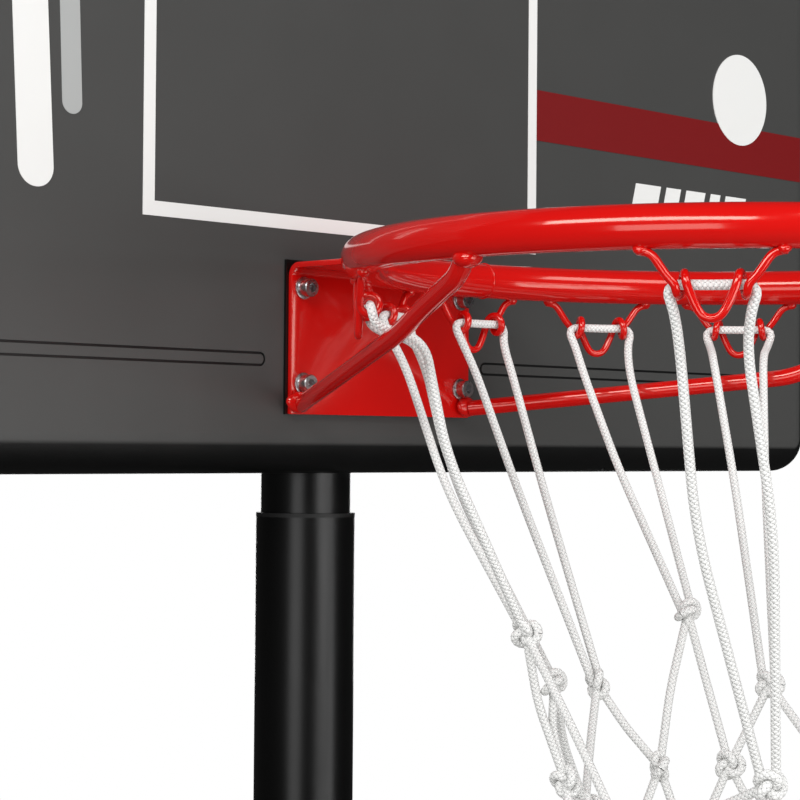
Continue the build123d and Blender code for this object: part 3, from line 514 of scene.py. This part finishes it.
def seam_bead():
    """A low weld bead round the tube where the ring was closed."""
    bm = spun_ring(RING_TUBE, SEAM_BEAD_MM * MM, 8, 48)
    place = Matrix.Translation(ring_point(SEAM_ANGLE, RING_RADIUS / MM, 0))
    place = place @ Matrix.Rotation(math.radians(SEAM_ANGLE + 90), 4, "Z")
    place = place @ Matrix.Rotation(math.pi / 2, 4, "Y")
    bmesh.ops.transform(bm, matrix=place, verts=bm.verts)
    return bm


ring_mesh = spun_ring(RING_RADIUS, RING_TUBE, RING_SIDES, RING_STEPS)
bmesh.ops.translate(ring_mesh, vec=RING_CENTRE, verts=ring_mesh.verts)
join(ring_mesh, seam_bead())
ring = piece("hoop_ring", ring_mesh, RED, "hoop", ["ring"])
print("ring faces", len(ring.data.polygons))

# %% [markdown]
# ## The bracket
# One sheet of 4 mm steel is bent once: the upright part bolts to the board and the
# shelf runs out to the ring, where its front edge is cut to the ring's curve. It is
# drawn as a folded strip, the fold is rounded, and the sheet is given its thickness.

# %% Fold the bracket
bracket_low, bracket_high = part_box("rim_bracket")
SHEET_MM = 4.0
BEND_MM = 9.5
BRACKET_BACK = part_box("backing_plate")[0].y
SHELF_MM = 60.0
SHELF_COLUMNS = 24
RING_OVERLAP = 0.7
PLATE_EDGE_MM = 0.7
HARD_ANGLE = math.radians(60)
NEAR = 1e-6


def make_bracket():
    """The folded sheet, its shelf cut to the curve of the ring."""
    bm = bmesh.new()
    corner = Vector((bracket_low.x, BRACKET_BACK, bracket_high.z))
    foot = bm.verts.new((corner.x, corner.y, bracket_low.z))
    bend = bm.verts.new(corner)
    shelf_end = corner.y - SHELF_MM * MM
    lip = bm.verts.new((corner.x, shelf_end, corner.z))
    edges = [bm.edges.new((foot, bend)), bm.edges.new((bend, lip))]
    width = Vector((bracket_high.x - bracket_low.x, 0, 0))
    grown = bmesh.ops.extrude_edge_only(bm, edges=edges)
    bmesh.ops.translate(bm, vec=width, verts=[v for v in grown["geom"] if isinstance(v, bmesh.types.BMVert)])
    fold = [e for e in bm.edges if all((v.co - corner).yz.length < NEAR for v in e.verts)]
    soften(bm, fold, BEND_MM, 10)
    long_edges = [e for e in bm.edges if abs(e.verts[0].co.x - e.verts[1].co.x) > width.x / 2]
    bmesh.ops.subdivide_edges(bm, edges=long_edges, cuts=SHELF_COLUMNS - 1, use_grid_fill=True)
    reach = RING_RADIUS + RING_TUBE * RING_OVERLAP
    for vertex in bm.verts:
        if abs(vertex.co.y - shelf_end) < NEAR:
            vertex.co.y = RING_CENTRE.y + math.sqrt(reach ** 2 - vertex.co.x ** 2)
    bmesh.ops.recalc_face_normals(bm, faces=bm.faces)
    bmesh.ops.solidify(bm, geom=bm.faces[:], thickness=SHEET_MM * MM)
    return outward(bm)


bracket_mesh = make_bracket()
soften(bracket_mesh, sharp_edges(bracket_mesh, HARD_ANGLE), PLATE_EDGE_MM, 2)
bracket = piece("rim_plate", bracket_mesh, RED, "hoop", ["rim_bracket"])
print("bracket box", [tuple(round(x, 4) for x in corner) for corner in bracket.bound_box][::6])

# %% [markdown]
# ## The struts
# Two bars run from the lower corners of the bracket out to the underside of the
# ring. Each is bent by hand, so the two differ a little. A weld bead, lumpy and
# smooth at once, holds each end.

# %% Bend the struts
STRUT_MM = 6.0
STRUT_FOOT = (88.0, -90.0)
STRUT_RING_ANGLE = 3.0
STRUT_BEND_MM = 40.0
STRUT_RISE_MM = 8.0
STRUT_SIDES = 20
STRUT_STEP = 3
WELD_LUMPS = 7
BRACKET_FRONT = BRACKET_BACK - SHEET_MM * MM
weld_noise = random.Random(7)


def weld(place, size_mm, squash=(1, 1, 1)):
    """A small lumpy bead of weld metal."""
    bm = bmesh.new()
    bmesh.ops.create_icosphere(bm, subdivisions=3, radius=size_mm * MM)
    lumps = []
    for _ in range(WELD_LUMPS):
        lump = Vector([weld_noise.uniform(-1, 1) for _ in range(3)]).normalized()
        lumps.append((lump, weld_noise.uniform(0.05, 0.16)))
    for vertex in bm.verts:
        way = vertex.co.normalized()
        swell = 1 + sum(height * max(0.0, way.dot(lump)) ** 6 for lump, height in lumps)
        vertex.co = Vector([c * swell * s for c, s in zip(vertex.co, squash)])
    bmesh.ops.translate(bm, vec=place, verts=bm.verts)
    return bm


def up(distance_mm):
    """A step straight up."""
    return Vector((0, 0, distance_mm * MM))


def make_strut(side, bend_share, bend_drop):
    """One bent bar from the bracket's corner to the ring, with its two welds."""
    foot_x, foot_drop = STRUT_FOOT
    foot = Vector((side * foot_x * MM, BRACKET_FRONT - STRUT_MM * MM, RING_CENTRE.z + foot_drop * MM))
    angle = STRUT_RING_ANGLE if side > 0 else 180 - STRUT_RING_ANGLE
    head = ring_point(angle, RING_RADIUS / MM, -RING_TUBE / MM - 1)
    knee = foot.lerp(head, bend_share)
    knee.z = RING_CENTRE.z + bend_drop * MM
    before = knee + (foot - knee).normalized() * STRUT_BEND_MM * MM
    after = knee + (head - knee).normalized() * STRUT_BEND_MM * MM
    near_head = head + (knee - head).normalized() * 9 * MM + up(-4)
    top = head + up(STRUT_RISE_MM)
    points = [foot, foot.lerp(before, 0.5), before, knee, after]
    points += [after.lerp(near_head, 0.5), near_head, top]
    bm = tube(even_steps(smooth_line(points), STRUT_STEP), STRUT_MM * MM, STRUT_SIDES)
    join(bm, weld(head + up(1), 7.5, (1.15, 1.15, 0.7)))
    join(bm, weld(foot + Vector((0, 3 * MM, 1 * MM)), 8.0, (1.2, 0.6, 0.9)))
    return bm


STRUT_BENDS = ((-1, "left", 0.65, -49.0), (1, "right", 0.76, -66.0))
for side, name, share, drop in STRUT_BENDS:
    bar = make_strut(side, share, drop)
    made = piece(f"brace_bar_{name}", bar, RED, "hoop", [f"strut_{name}"])
    print(made.name, "faces", len(made.data.polygons))

# %% [markdown]
# ## The net hooks
# Each hook is one wire. From its foot on the ring it runs down, turns once round the
# place where the cord passes, drops into a loop, and mirrors all that on the other
# side. The turn is a helix, so it is worked out, and the rest are a few points.

# %% Bend the hooks
HOOKS_PER_GROUP = 5
HOOK_GROUPS = ((86.0, 25.8), (267.0, 27.0))
WIRE_MM = 2.5
EYE_MM = 6.2
EYE_DROP = -31.0
EYE_INSET = 5.2
EYE_OUTER = 19.6
EYE_INNER = 13.4
LEG_INSET = EYE_INSET - EYE_MM
TURN_POINTS = 12
# A spline cuts the corners between its points, so the turn is drawn a little wider.
TURN_MM = EYE_MM * 1.03
HOOK_STEP = 1.2
# Along the ring, in from its centre line, and up or down.
HOOK_FOOT = ((-40, 0, -13.2), (-35, 0, -13.6), (-31.5, -0.6, -15.5))
HOOK_LEG = ((-28.5, LEG_INSET, -20), (-24, LEG_INSET, -27))
HOOK_LOOP = ((-11.5, LEG_INSET, -36), (-8, LEG_INSET, -44), (-4.2, LEG_INSET, -50))
FOOT_WELD = (38, 0, -12.6)


def hook_angles():
    """The angle of every hook, in degrees round the ring."""
    middle = (HOOKS_PER_GROUP - 1) / 2
    return [centre + pitch * (i - middle) for centre, pitch in HOOK_GROUPS for i in range(HOOKS_PER_GROUP)]


def half_hook():
    """Places for the wire from its foot to the middle of its loop."""
    eye = []
    for step in range(TURN_POINTS + 1):
        share = step / TURN_POINTS
        angle = math.pi + math.tau * share
        along = -EYE_OUTER + (EYE_OUTER - EYE_INNER) * share
        eye.append((along, EYE_INSET + TURN_MM * math.cos(angle), EYE_DROP + TURN_MM * math.sin(angle)))
    return [*HOOK_FOOT, *HOOK_LEG, *eye, *HOOK_LOOP]


def make_hook(angle):
    """One whole hook with a small weld at each foot."""
    half = half_hook()
    whole = half + [(-a, b, c) for a, b, c in reversed(half)]
    line = even_steps(smooth_line([beside_ring(angle, *place) for place in whole], 4), HOOK_STEP)
    bm = tube(line, WIRE_MM * MM)
    along, inset, drop = FOOT_WELD
    for side in (-1, 1):
        join(bm, weld(beside_ring(angle, side * along, inset, drop), 3.6, (1.1, 1.1, 0.8)))
    return bm


ANGLES = hook_angles()
for index, angle in enumerate(ANGLES):
    node = f"net_hook_{index + 1}"
    piece(f"wire_hook_{index + 1}", make_hook(angle), RED, "hoop", [node])
print("hooks at", [round(a) for a in ANGLES])

# %% [markdown]
# ## The net's route
# The net is white polyester cord. A loop hangs in each hook, its two cords leave
# through the two eyes, and they meet in a knot. Each lower row of knots hangs between
# the neighbours above it, so the net narrows to a sleeve as wide as a ball. The first
# row is pulled out of true, as it is after some play. All the cord is held by hooks
# and knots, so none of it is free.

# %% Place the knots
# Turned from the hook in degrees, out from the middle and down in millimetres.
FIRST_KNOTS = (
    (-12, 115, -280), (-11, 125, -233), (-10, 140, -282), (14, 112, -272), (-7, 130, -238),
    (12, 138, -312), (6, 128, -262), (-4, 134, -244), (5, 126, -270), (-6, 132, -250),
)
LOWER_ROWS = ((104, -78), (95, -66), (98, -58))
# How each hook's two cords hang slack: outwards, and half the space between them.
HANGS = ((8, 12), (6, 14), (3, 11), (14, 10), (12, 9), (5, 20), (8, 14), (6, 12), (8, 14), (8, 12))


def next_row(row, radius, fall):
    """One knot between each two neighbours of the row above, and lower."""
    made = []
    for i, (angle, _, drop) in enumerate(row):
        following = row[(i + 1) % len(row)]
        next_angle = following[0] + (360 if i == len(row) - 1 else 0)
        made.append(((angle + next_angle) / 2, radius, (drop + following[2]) / 2 + fall))
    return made


rows = [[(a + turned, radius, drop) for a, (turned, radius, drop) in zip(ANGLES, FIRST_KNOTS)]]
for radius, fall in LOWER_ROWS:
    rows.append(next_row(rows[-1], radius, fall))
KNOTS = [[ring_point(*place) for place in row] for row in rows]
print("knots per row", [len(row) for row in KNOTS])

# %% [markdown]
# ## The top cords
# Each hook holds one loop of cord. Its line starts at a knot, hangs a little slack,
# goes up through one eye of the hook, across, and down through the other. Control
# points pull the spline past the hook without touching it, and a small chance sway
# keeps the ten loops from being copies.

# %% Run the top cords through the eyes
CORD_RADIUS = CORD_MM / 2 * MM
CORD_SIDES = 12
CORD_STEP = 2.4
STRAND_GAP_MM = 3.7
BY_STRUT = (0, HOOKS_PER_GROUP - 1)
SHOULDER = (20.5, -66)
SHOULDER_BY_STRUT = (39.5, -52)
SHOULDER_SPAN = 18.0
HANG_SHARE = 0.4
# From beside the shoulder to the middle of the hook: along, in, and up or down.
OVER_THE_HOOK = ((20.5, 9, -45), (24.5, 6, -34), (19, EYE_INSET, -31), (7, EYE_INSET + 1, -31.4))
chance = random.Random(21)


def chance_sway(most_mm):
    """A small random step in any direction."""
    return Vector([chance.uniform(-most_mm, most_mm) * MM for _ in range(3)])


def half_loop(index, side):
    """Control points from a knot up to the middle of the loop in its hook."""
    angle = ANGLES[index]
    along = (beside_ring(angle, 1, 0, 0) - beside_ring(angle, 0, 0, 0)) * side
    outwards = beside_ring(angle, 0, 0, 0) - beside_ring(angle, 0, 1, 0)
    inset, drop = SHOULDER_BY_STRUT if index in BY_STRUT else SHOULDER
    slack, half_space = HANGS[index]
    shoulder = beside_ring(angle, 0, inset, drop)
    hanging = shoulder.lerp(KNOTS[0][index], HANG_SHARE) + outwards * slack
    hanging = hanging + along * half_space + chance_sway(2)
    shoulder = shoulder + along * SHOULDER_SPAN
    knot = KNOTS[0][index] + along * STRAND_GAP_MM
    lower = [knot, knot.lerp(hanging, 0.55), hanging, hanging.lerp(shoulder, 0.6), shoulder]
    return lower + [beside_ring(angle, a * side, b, c) for a, b, c in OVER_THE_HOOK]


def make_top_cords():
    """All ten loops, each from its knot through its hook and back."""
    bm = bmesh.new()
    for index in range(len(ANGLES)):
        points = half_loop(index, -1) + half_loop(index, 1)[::-1]
        line = even_steps(smooth_line(points), CORD_STEP)
        join(bm, tube(line, CORD_RADIUS, CORD_SIDES))
    return bm


top_cords = piece("net_top_cords", make_top_cords(), CORD, "hoop", ["net"])
print("top cords faces", len(top_cords.data.polygons))

# %% [markdown]
# ## The lower cords and the knots
# Below the first row, a short cord joins each knot to the two under it. A knot is the
# cord itself tied tight: its line goes round twice while it weaves in and out three
# times, which is a trefoil. Each knot is turned by its own chance angle, so that no
# two show the same side.

# %% Run the lower cords and tie the knots
TREFOIL_MM = (5.6, 3.1)
TREFOIL_STEPS = 48
TREFOIL_SWELL = 1.15


def make_lower_cords():
    """Every short cord between two rows of knots."""
    bm = bmesh.new()
    for upper, lower in zip(KNOTS, KNOTS[1:]):
        for i, foot in enumerate(lower):
            for head in (upper[i], upper[(i + 1) % len(upper)]):
                halfway = (head + foot) / 2
                out = Vector((*(halfway - RING_CENTRE).xy, 0)).normalized()
                middle = halfway + chance_sway(3) + out * chance.uniform(-1, 5) * MM
                points = [head, head.lerp(middle, 0.5), middle, middle.lerp(foot, 0.5), foot]
                join(bm, tube(even_steps(smooth_line(points), CORD_STEP), CORD_RADIUS, CORD_SIDES))
    return bm


def trefoil(place, turned, leaning):
    """The closed line of a tight overhand knot."""
    wide, deep = TREFOIL_MM
    spin = Matrix.Translation(place) @ Matrix.Rotation(turned, 4, "Z") @ Matrix.Rotation(leaning, 4, "X")
    line = []
    for step in range(TREFOIL_STEPS + 1):
        t = math.tau * step / TREFOIL_STEPS
        out = (wide + deep * math.cos(3 * t)) * MM
        weave = deep * TREFOIL_SWELL * MM * math.sin(3 * t)
        line.append(spin @ Vector((out * math.cos(2 * t), weave, out * math.sin(2 * t))))
    return line


def make_knots():
    """A tight knot at every meeting of cords."""
    bm = bmesh.new()
    for row in KNOTS:
        for place in row:
            line = trefoil(place, chance.uniform(0, math.tau), chance.uniform(-0.5, 0.5))
            join(bm, tube(even_steps(line, CORD_STEP), CORD_RADIUS, CORD_SIDES))
    return bm


lower_cords = piece("net_lower_cords", make_lower_cords(), CORD, "hoop", ["net"])
knots = piece("net_knots", make_knots(), CORD, "hoop", ["net"])
print("lower cords faces", len(lower_cords.data.polygons), "knots faces", len(knots.data.polygons))

# %% [markdown]
# ## Screws and washers
# Four M8 socket screws hold the bracket. A head starts as a hexagon and a circle that
# are bridged into a flat ring. The circle is extruded back for the side, the hexagon
# is extruded in for the socket, and the rim is bevelled.

# %% Turn the screws
HEAD_MM = 6.5
HEAD_LONG_MM = 8.0
SOCKET_MM = 3.6
SOCKET_DEEP_MM = 5.0
WASHER_MM = 8.0
WASHER_THICK_MM = 1.6
WASHER_BORE_MM = 4.2
HEAD_EDGE_MM = 0.7
SCREW_TURN = 0.4
screws_low, screws_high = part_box("rim_screws")
washers_low, washers_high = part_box("rim_washers")
SCREW_X = washers_high.x - WASHER_MM * MM
SCREW_ROWS = (washers_high.z - WASHER_MM * MM, washers_low.z + WASHER_MM * MM)


def loop_of(bm, sides, radius):
    """The edges of a new circle."""
    made = bmesh.ops.create_circle(bm, segments=sides, radius=radius)
    return list({edge for vertex in made["verts"] for edge in vertex.link_edges})


def pulled(bm, edges, depth):
    """Extrudes a loop of edges along Z and gives its new edges."""
    grown = bmesh.ops.extrude_edge_only(bm, edges=edges)["geom"]
    bmesh.ops.translate(bm, vec=(0, 0, depth), verts=[v for v in grown if isinstance(v, bmesh.types.BMVert)])
    return [e for e in grown if isinstance(e, bmesh.types.BMEdge)]


def screw_head():
    """A socket head with its top at the origin, facing +Z."""
    bm = bmesh.new()
    hexagon = loop_of(bm, 6, SOCKET_MM * MM)
    rim = loop_of(bm, 36, (HEAD_MM - HEAD_EDGE_MM) * MM)
    bmesh.ops.bridge_loops(bm, edges=hexagon + rim)
    outer = pulled(bm, rim, -0.001 * MM)
    for vertex in {v for e in outer for v in e.verts}:
        vertex.co.xy *= HEAD_MM / (HEAD_MM - HEAD_EDGE_MM)
        vertex.co.z = -HEAD_EDGE_MM * MM
    back = pulled(bm, outer, -(HEAD_LONG_MM - HEAD_EDGE_MM) * MM)
    bottom = pulled(bm, hexagon, -SOCKET_DEEP_MM * MM)
    bmesh.ops.holes_fill(bm, edges=back + bottom, sides=0)
    return outward(bm)


def washer():
    """A flat washer standing on the origin, with softened edges."""
    bm = bmesh.new()
    inner = loop_of(bm, 48, WASHER_BORE_MM * MM)
    outer = loop_of(bm, 48, WASHER_MM * MM)
    bmesh.ops.bridge_loops(bm, edges=inner + outer)
    bmesh.ops.solidify(bm, geom=bm.faces[:], thickness=WASHER_THICK_MM * MM)
    outward(bm)
    low = min(v.co.z for v in bm.verts)
    bmesh.ops.translate(bm, vec=(0, 0, -low), verts=bm.verts)
    soften(bm, sharp_edges(bm, HARD_ANGLE), 0.3, 2)
    return bm


def at_screws(maker, front):
    """The same small part at all four screw places, facing the court."""
    bm = bmesh.new()
    for index, (x, z) in enumerate((x, z) for x in (-SCREW_X, SCREW_X) for z in SCREW_ROWS):
        one = maker()
        place = Matrix.Translation((x, front, z)) @ Matrix.Rotation(math.pi / 2, 4, "X")
        place = place @ Matrix.Rotation(SCREW_TURN * index, 4, "Z")
        bmesh.ops.transform(one, matrix=place, verts=one.verts)
        join(bm, one)
    return bm


heads = at_screws(screw_head, screws_low.y)
washers = at_screws(washer, washers_low.y + WASHER_THICK_MM * MM)
piece("bracket_screws", heads, ZINC, "hoop", ["rim_screws"])
piece("bracket_washers", washers, ZINC, "hoop", ["rim_washers"])
print("screws at x", round(SCREW_X, 4), "z", [round(z, 4) for z in SCREW_ROWS])

# %% [markdown]
# ## The printed front
# The board carries a white shooter's square and some plain decoration, screen
# printed. A print is drawn as a skin of ink a few tenths of a millimetre thick, so
# that it catches the light a little on its own. The marks are plain shapes.

# %% Print the board
INK_MM = 0.35
PRINT_Y = BOARD_FRONT - INK_MM * MM
SQUARE = (-223.9, 176.8, 33.6, 338.0)
SQUARE_LINE = 10.0
BAND = (177.0, 546.0, 124.5, 164.8)
DISC_MM = 40.0
DISC_CENTRE = (452.0, 188.6, 0)
BAR_WIDTHS = (34.0, 20.0, 27.0, 14.0, 30.0)
BARS_LEFT = 300.0
BARS_HEIGHT = (84.0, 102.0)
BAR_GAP = 8.0
BAR_SLANT = 5.0
END_ROUNDNESS = 0.49


def printed(name, bm, finish, thick_mm=INK_MM):
    """A flat shape in X and Z, given the thickness of a coat of ink."""
    place = Matrix.Translation((0, PRINT_Y, RING_CENTRE.z)) @ Matrix.Rotation(math.pi / 2, 4, "X")
    bmesh.ops.transform(bm, matrix=place @ Matrix.Scale(MM, 4), verts=bm.verts)
    bmesh.ops.recalc_face_normals(bm, faces=bm.faces)
    bmesh.ops.solidify(bm, geom=bm.faces[:], thickness=thick_mm * MM)
    outward(bm)
    shift = BOARD_FRONT - max(v.co.y for v in bm.verts)
    bmesh.ops.translate(bm, vec=(0, shift, 0), verts=bm.verts)
    return piece(name, bm, finish, "hoop")


def flat_box(bm, left, right, low, high, slant=0.0):
    """A flat rectangle, leaning to the right by the slant."""
    made = bmesh.ops.create_grid(bm, x_segments=1, y_segments=1, size=0.5)["verts"]
    for vertex in made:
        across, rise = vertex.co.x + 0.5, vertex.co.y + 0.5
        place_x = left + across * (right - left) + slant * rise
        vertex.co = Vector((place_x, low + rise * (high - low), 0))
    return [face for face in bm.faces if all(v in made for v in face.verts)]


def square_outline():
    """The outline of the shooter's square: a rectangle with its inside taken out."""
    bm = bmesh.new()
    faces = flat_box(bm, *SQUARE)
    bmesh.ops.inset_region(bm, faces=faces, thickness=SQUARE_LINE, use_boundary=True, use_even_offset=True)
    bmesh.ops.delete(bm, geom=faces, context="FACES")
    return bm


def slanted_bars():
    """A row of leaning bars of different widths."""
    bm = bmesh.new()
    left = BARS_LEFT
    for width in BAR_WIDTHS:
        flat_box(bm, left, left + width, *BARS_HEIGHT, BAR_SLANT)
        left += width + BAR_GAP
    return bm


def stripe(left, right, low, high, slant):
    """An upright stripe with round ends."""
    bm = bmesh.new()
    flat_box(bm, left, right, low, high, slant)
    half = (right - left) * END_ROUNDNESS
    bmesh.ops.bevel(
        bm, geom=bm.verts[:], offset=half, segments=12, profile=0.5, affect="VERTICES", material=-1,
    )
    return bm


band = bmesh.new()
flat_box(band, *BAND)
disc = bmesh.new()
at_disc = Matrix.Translation(DISC_CENTRE)
bmesh.ops.create_circle(disc, cap_ends=True, segments=64, radius=DISC_MM, matrix=at_disc)
printed("shooters_square", square_outline(), WHITE_INK)
printed("side_band", band, RED_INK)
printed("side_disc", disc, WHITE_INK, 2 * INK_MM)
printed("slanted_bars", slanted_bars(), WHITE_INK)
# The two stripes' left, right, low and high sides, and their slant.
long_stripe = stripe(-325.0, -297.0, 44.5, 190.0, -8.0)
short_stripe = stripe(-291.0, -275.0, 94.0, 190.0, -4.0)
printed("left_stripe", long_stripe, WHITE_INK)
printed("left_short_stripe", short_stripe, GREY_INK)
print("printed pieces at y =", round(PRINT_Y, 5))

# %% [markdown]
# ## Tyres
# Each tyre is a solid rubber ring with rounded shoulders and three grooves round its
# tread. Its section is drawn once and spun round the axle. A spin suits a moulded ring
# better than a bevelled cylinder, because the grooves come with the section.

# %% Spin the tyres
TYRE_STEPS = 128
GROOVES = 3
GROOVE_MM = 3.0
GROOVE_DEPTH_MM = 2.0
SHOULDER_STEPS = 6
TYRE_WALL_MM = 13.0


def tyre_section(width, outer):
    """Points along the axle and away from it, round one cut through the rubber."""
    shoulder = width / 5
    inner = outer - TYRE_WALL_MM * MM
    flat = width / 2 - shoulder
    half = GROOVE_MM * MM / 2
    deep = outer - GROOVE_DEPTH_MM * MM
    tread = []
    for groove in range(GROOVES):
        middle = flat * (groove - (GROOVES - 1) / 2) * 2 / GROOVES
        tread += [(middle - half, outer), (middle - half / 2, deep)]
        tread += [(middle + half / 2, deep), (middle + half, outer)]
    left, right = [], []
    for step in range(SHOULDER_STEPS + 1):
        turn = math.pi / 2 * step / SHOULDER_STEPS
        rise = outer - shoulder + shoulder * math.sin(turn)
        reach = flat + shoulder * math.cos(turn)
        left.append((-reach, rise))
        right.insert(0, (reach, rise))
    return [(-width / 2, inner)] + left + tread + right + [(width / 2, inner)]


def make_tyre(side):
    """One tyre in the place of the plain ring round a wheel."""
    low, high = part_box(f"tyre_{side}")
    centre = (low + high) / 2
    bm = bmesh.new()
    section = tyre_section(high.x - low.x, (high.z - low.z) / 2)
    verts = [bm.verts.new(centre + Vector((along, 0, away))) for along, away in section]
    for start, end in zip(verts, verts[1:] + verts[:1]):
        bm.edges.new((start, end))
    bmesh.ops.spin(
        bm, geom=bm.verts[:] + bm.edges[:], cent=centre, axis=(1, 0, 0),
        angle=math.tau, steps=TYRE_STEPS, use_merge=True,
    )
    outward(bm)
    name = f"grooved_tyre_{side}"
    return piece(name, bm, RUBBER, f"{side}_wheel", [f"tyre_{side}"])


for side in ("left", "right"):
    made = make_tyre(side)
    print(made.name, "faces", len(made.data.polygons))

# %% [markdown]
# ## Finishes for the engineered parts
# The pole, tank, wheels, braces and fasteners already have the right shape. Modelling
# them again would only add mistakes, so they keep their mesh and get a finish here,
# chosen by the slot that each one names.

# %% Finish the nodes
FINISHES = {
    "black_tank_plastic": TANK, "black_plastic": PLASTIC, "black_rubber": RUBBER,
    "black_pole_paint": BLACK, "zinc_plate": ZINC, "board_plastic": BOARD,
    "red_powder_coat": RED, "white_cord": CORD,
}
unmatched = []
for name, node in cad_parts.items():
    for slot in node.material_slots:
        old = slot.material.name.split(".")[0] if slot.material else ""
        match = [finish for key, finish in FINISHES.items() if key in old]
        slot.material = match[0] if match else PLASTIC
        if not match:
            unmatched.append(name)
print("nodes finished:", len(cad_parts), "with no finish of their own:", unmatched)

# %% [markdown]
# ## The floor
# A plain pale floor catches the stand's soft shadow. It is wide enough for any view,
# and the gloss of the hoop doesn't mirror it.

# %% Lay the floor
FLOOR_HALF = 7.0
floor_mesh = bmesh.new()
bmesh.ops.create_grid(floor_mesh, x_segments=1, y_segments=1, size=FLOOR_HALF)
floor_data = bpy.data.meshes.new("floor")
floor_mesh.to_mesh(floor_data)
floor_mesh.free()
floor = bpy.data.objects.new("floor", floor_data)
bpy.context.scene.collection.objects.link(floor)
floor_paint = material("pale_floor_paint", "#E6E6E4", 0.6)[0]
floor_data.materials.append(floor_paint)
floor.visible_glossy = False
print("floor is", 2 * FLOOR_HALF, "m wide")

# %% [markdown]
# ## The light
# The room is white to look at and fills the shade, but gloss hardly mirrors it, so
# large softboxes model the shapes. Some stand left of the camera and some right of
# it, which draws two soft lines down the black pole and long bright bands along the
# red tube. The last one stands behind and shows the back.

# %% Light the room
SEEN_WHITE = 1.0
FILL_LIGHT = 0.4
MIRRORED_LIGHT = 0.03
world = bpy.data.worlds.new("room")
bpy.context.scene.world = world
world.use_nodes = True
sky = world.node_tree
background = next(node for node in sky.nodes if node.type == "BACKGROUND")
rays = add(sky, "ShaderNodeLightPath")
fill = add(sky, "ShaderNodeMapRange", {
    "Value": rays.outputs["Is Glossy Ray"], "To Min": FILL_LIGHT, "To Max": MIRRORED_LIGHT,
})
seen = add(sky, "ShaderNodeMapRange", {
    "Value": rays.outputs["Is Camera Ray"], "To Min": fill.outputs["Result"], "To Max": SEEN_WHITE,
})
sky.links.new(seen.outputs["Result"], background.inputs["Strength"])
background.inputs["Color"].default_value = (1, 1, 1, 1)
bpy.context.scene.view_settings.view_transform = "Standard"


def softbox(name, azimuth, distance, middle, width, height, glow):
    """An area light beside the ring, turned to it, that the camera does not see.

    The azimuth is in degrees and the rest in metres. The glow is its brightness, so a
    wider box is not a dimmer one.
    """
    lamp = bpy.data.lights.new(name, "AREA")
    lamp.shape = "RECTANGLE"
    lamp.size = width
    lamp.size_y = height
    lamp.energy = glow * math.pi * width * height
    made = bpy.data.objects.new(name, lamp)
    bpy.context.scene.collection.objects.link(made)
    turned = math.radians(azimuth)
    place = Vector((RING_CENTRE.x, RING_CENTRE.y, middle))
    place += Vector((math.cos(turned), math.sin(turned), 0)) * distance
    aim = Vector((RING_CENTRE.x, RING_CENTRE.y, (middle + RING_CENTRE.z) / 2))
    facing = (aim - place).to_track_quat("-Z", "Y").to_matrix().to_4x4()
    made.matrix_world = Matrix.Translation(place) @ facing
    made.visible_camera = False
    return made


softbox("left_high", 192, 2.6, 3.8, 3.0, 0.8, 8.0)
softbox("left_low", 199, 2.8, 1.85, 1.4, 1.2, 2.2)
softbox("front_high", 268, 2.4, 4.4, 2.6, 1.2, 3.6)
softbox("front_low", 276, 2.9, 1.8, 2.5, 1.5, 3.4)
softbox("rear_rim", 50, 3.0, 2.8, 1.6, 2.2, 4.0)
print("lights", len(bpy.data.lights))
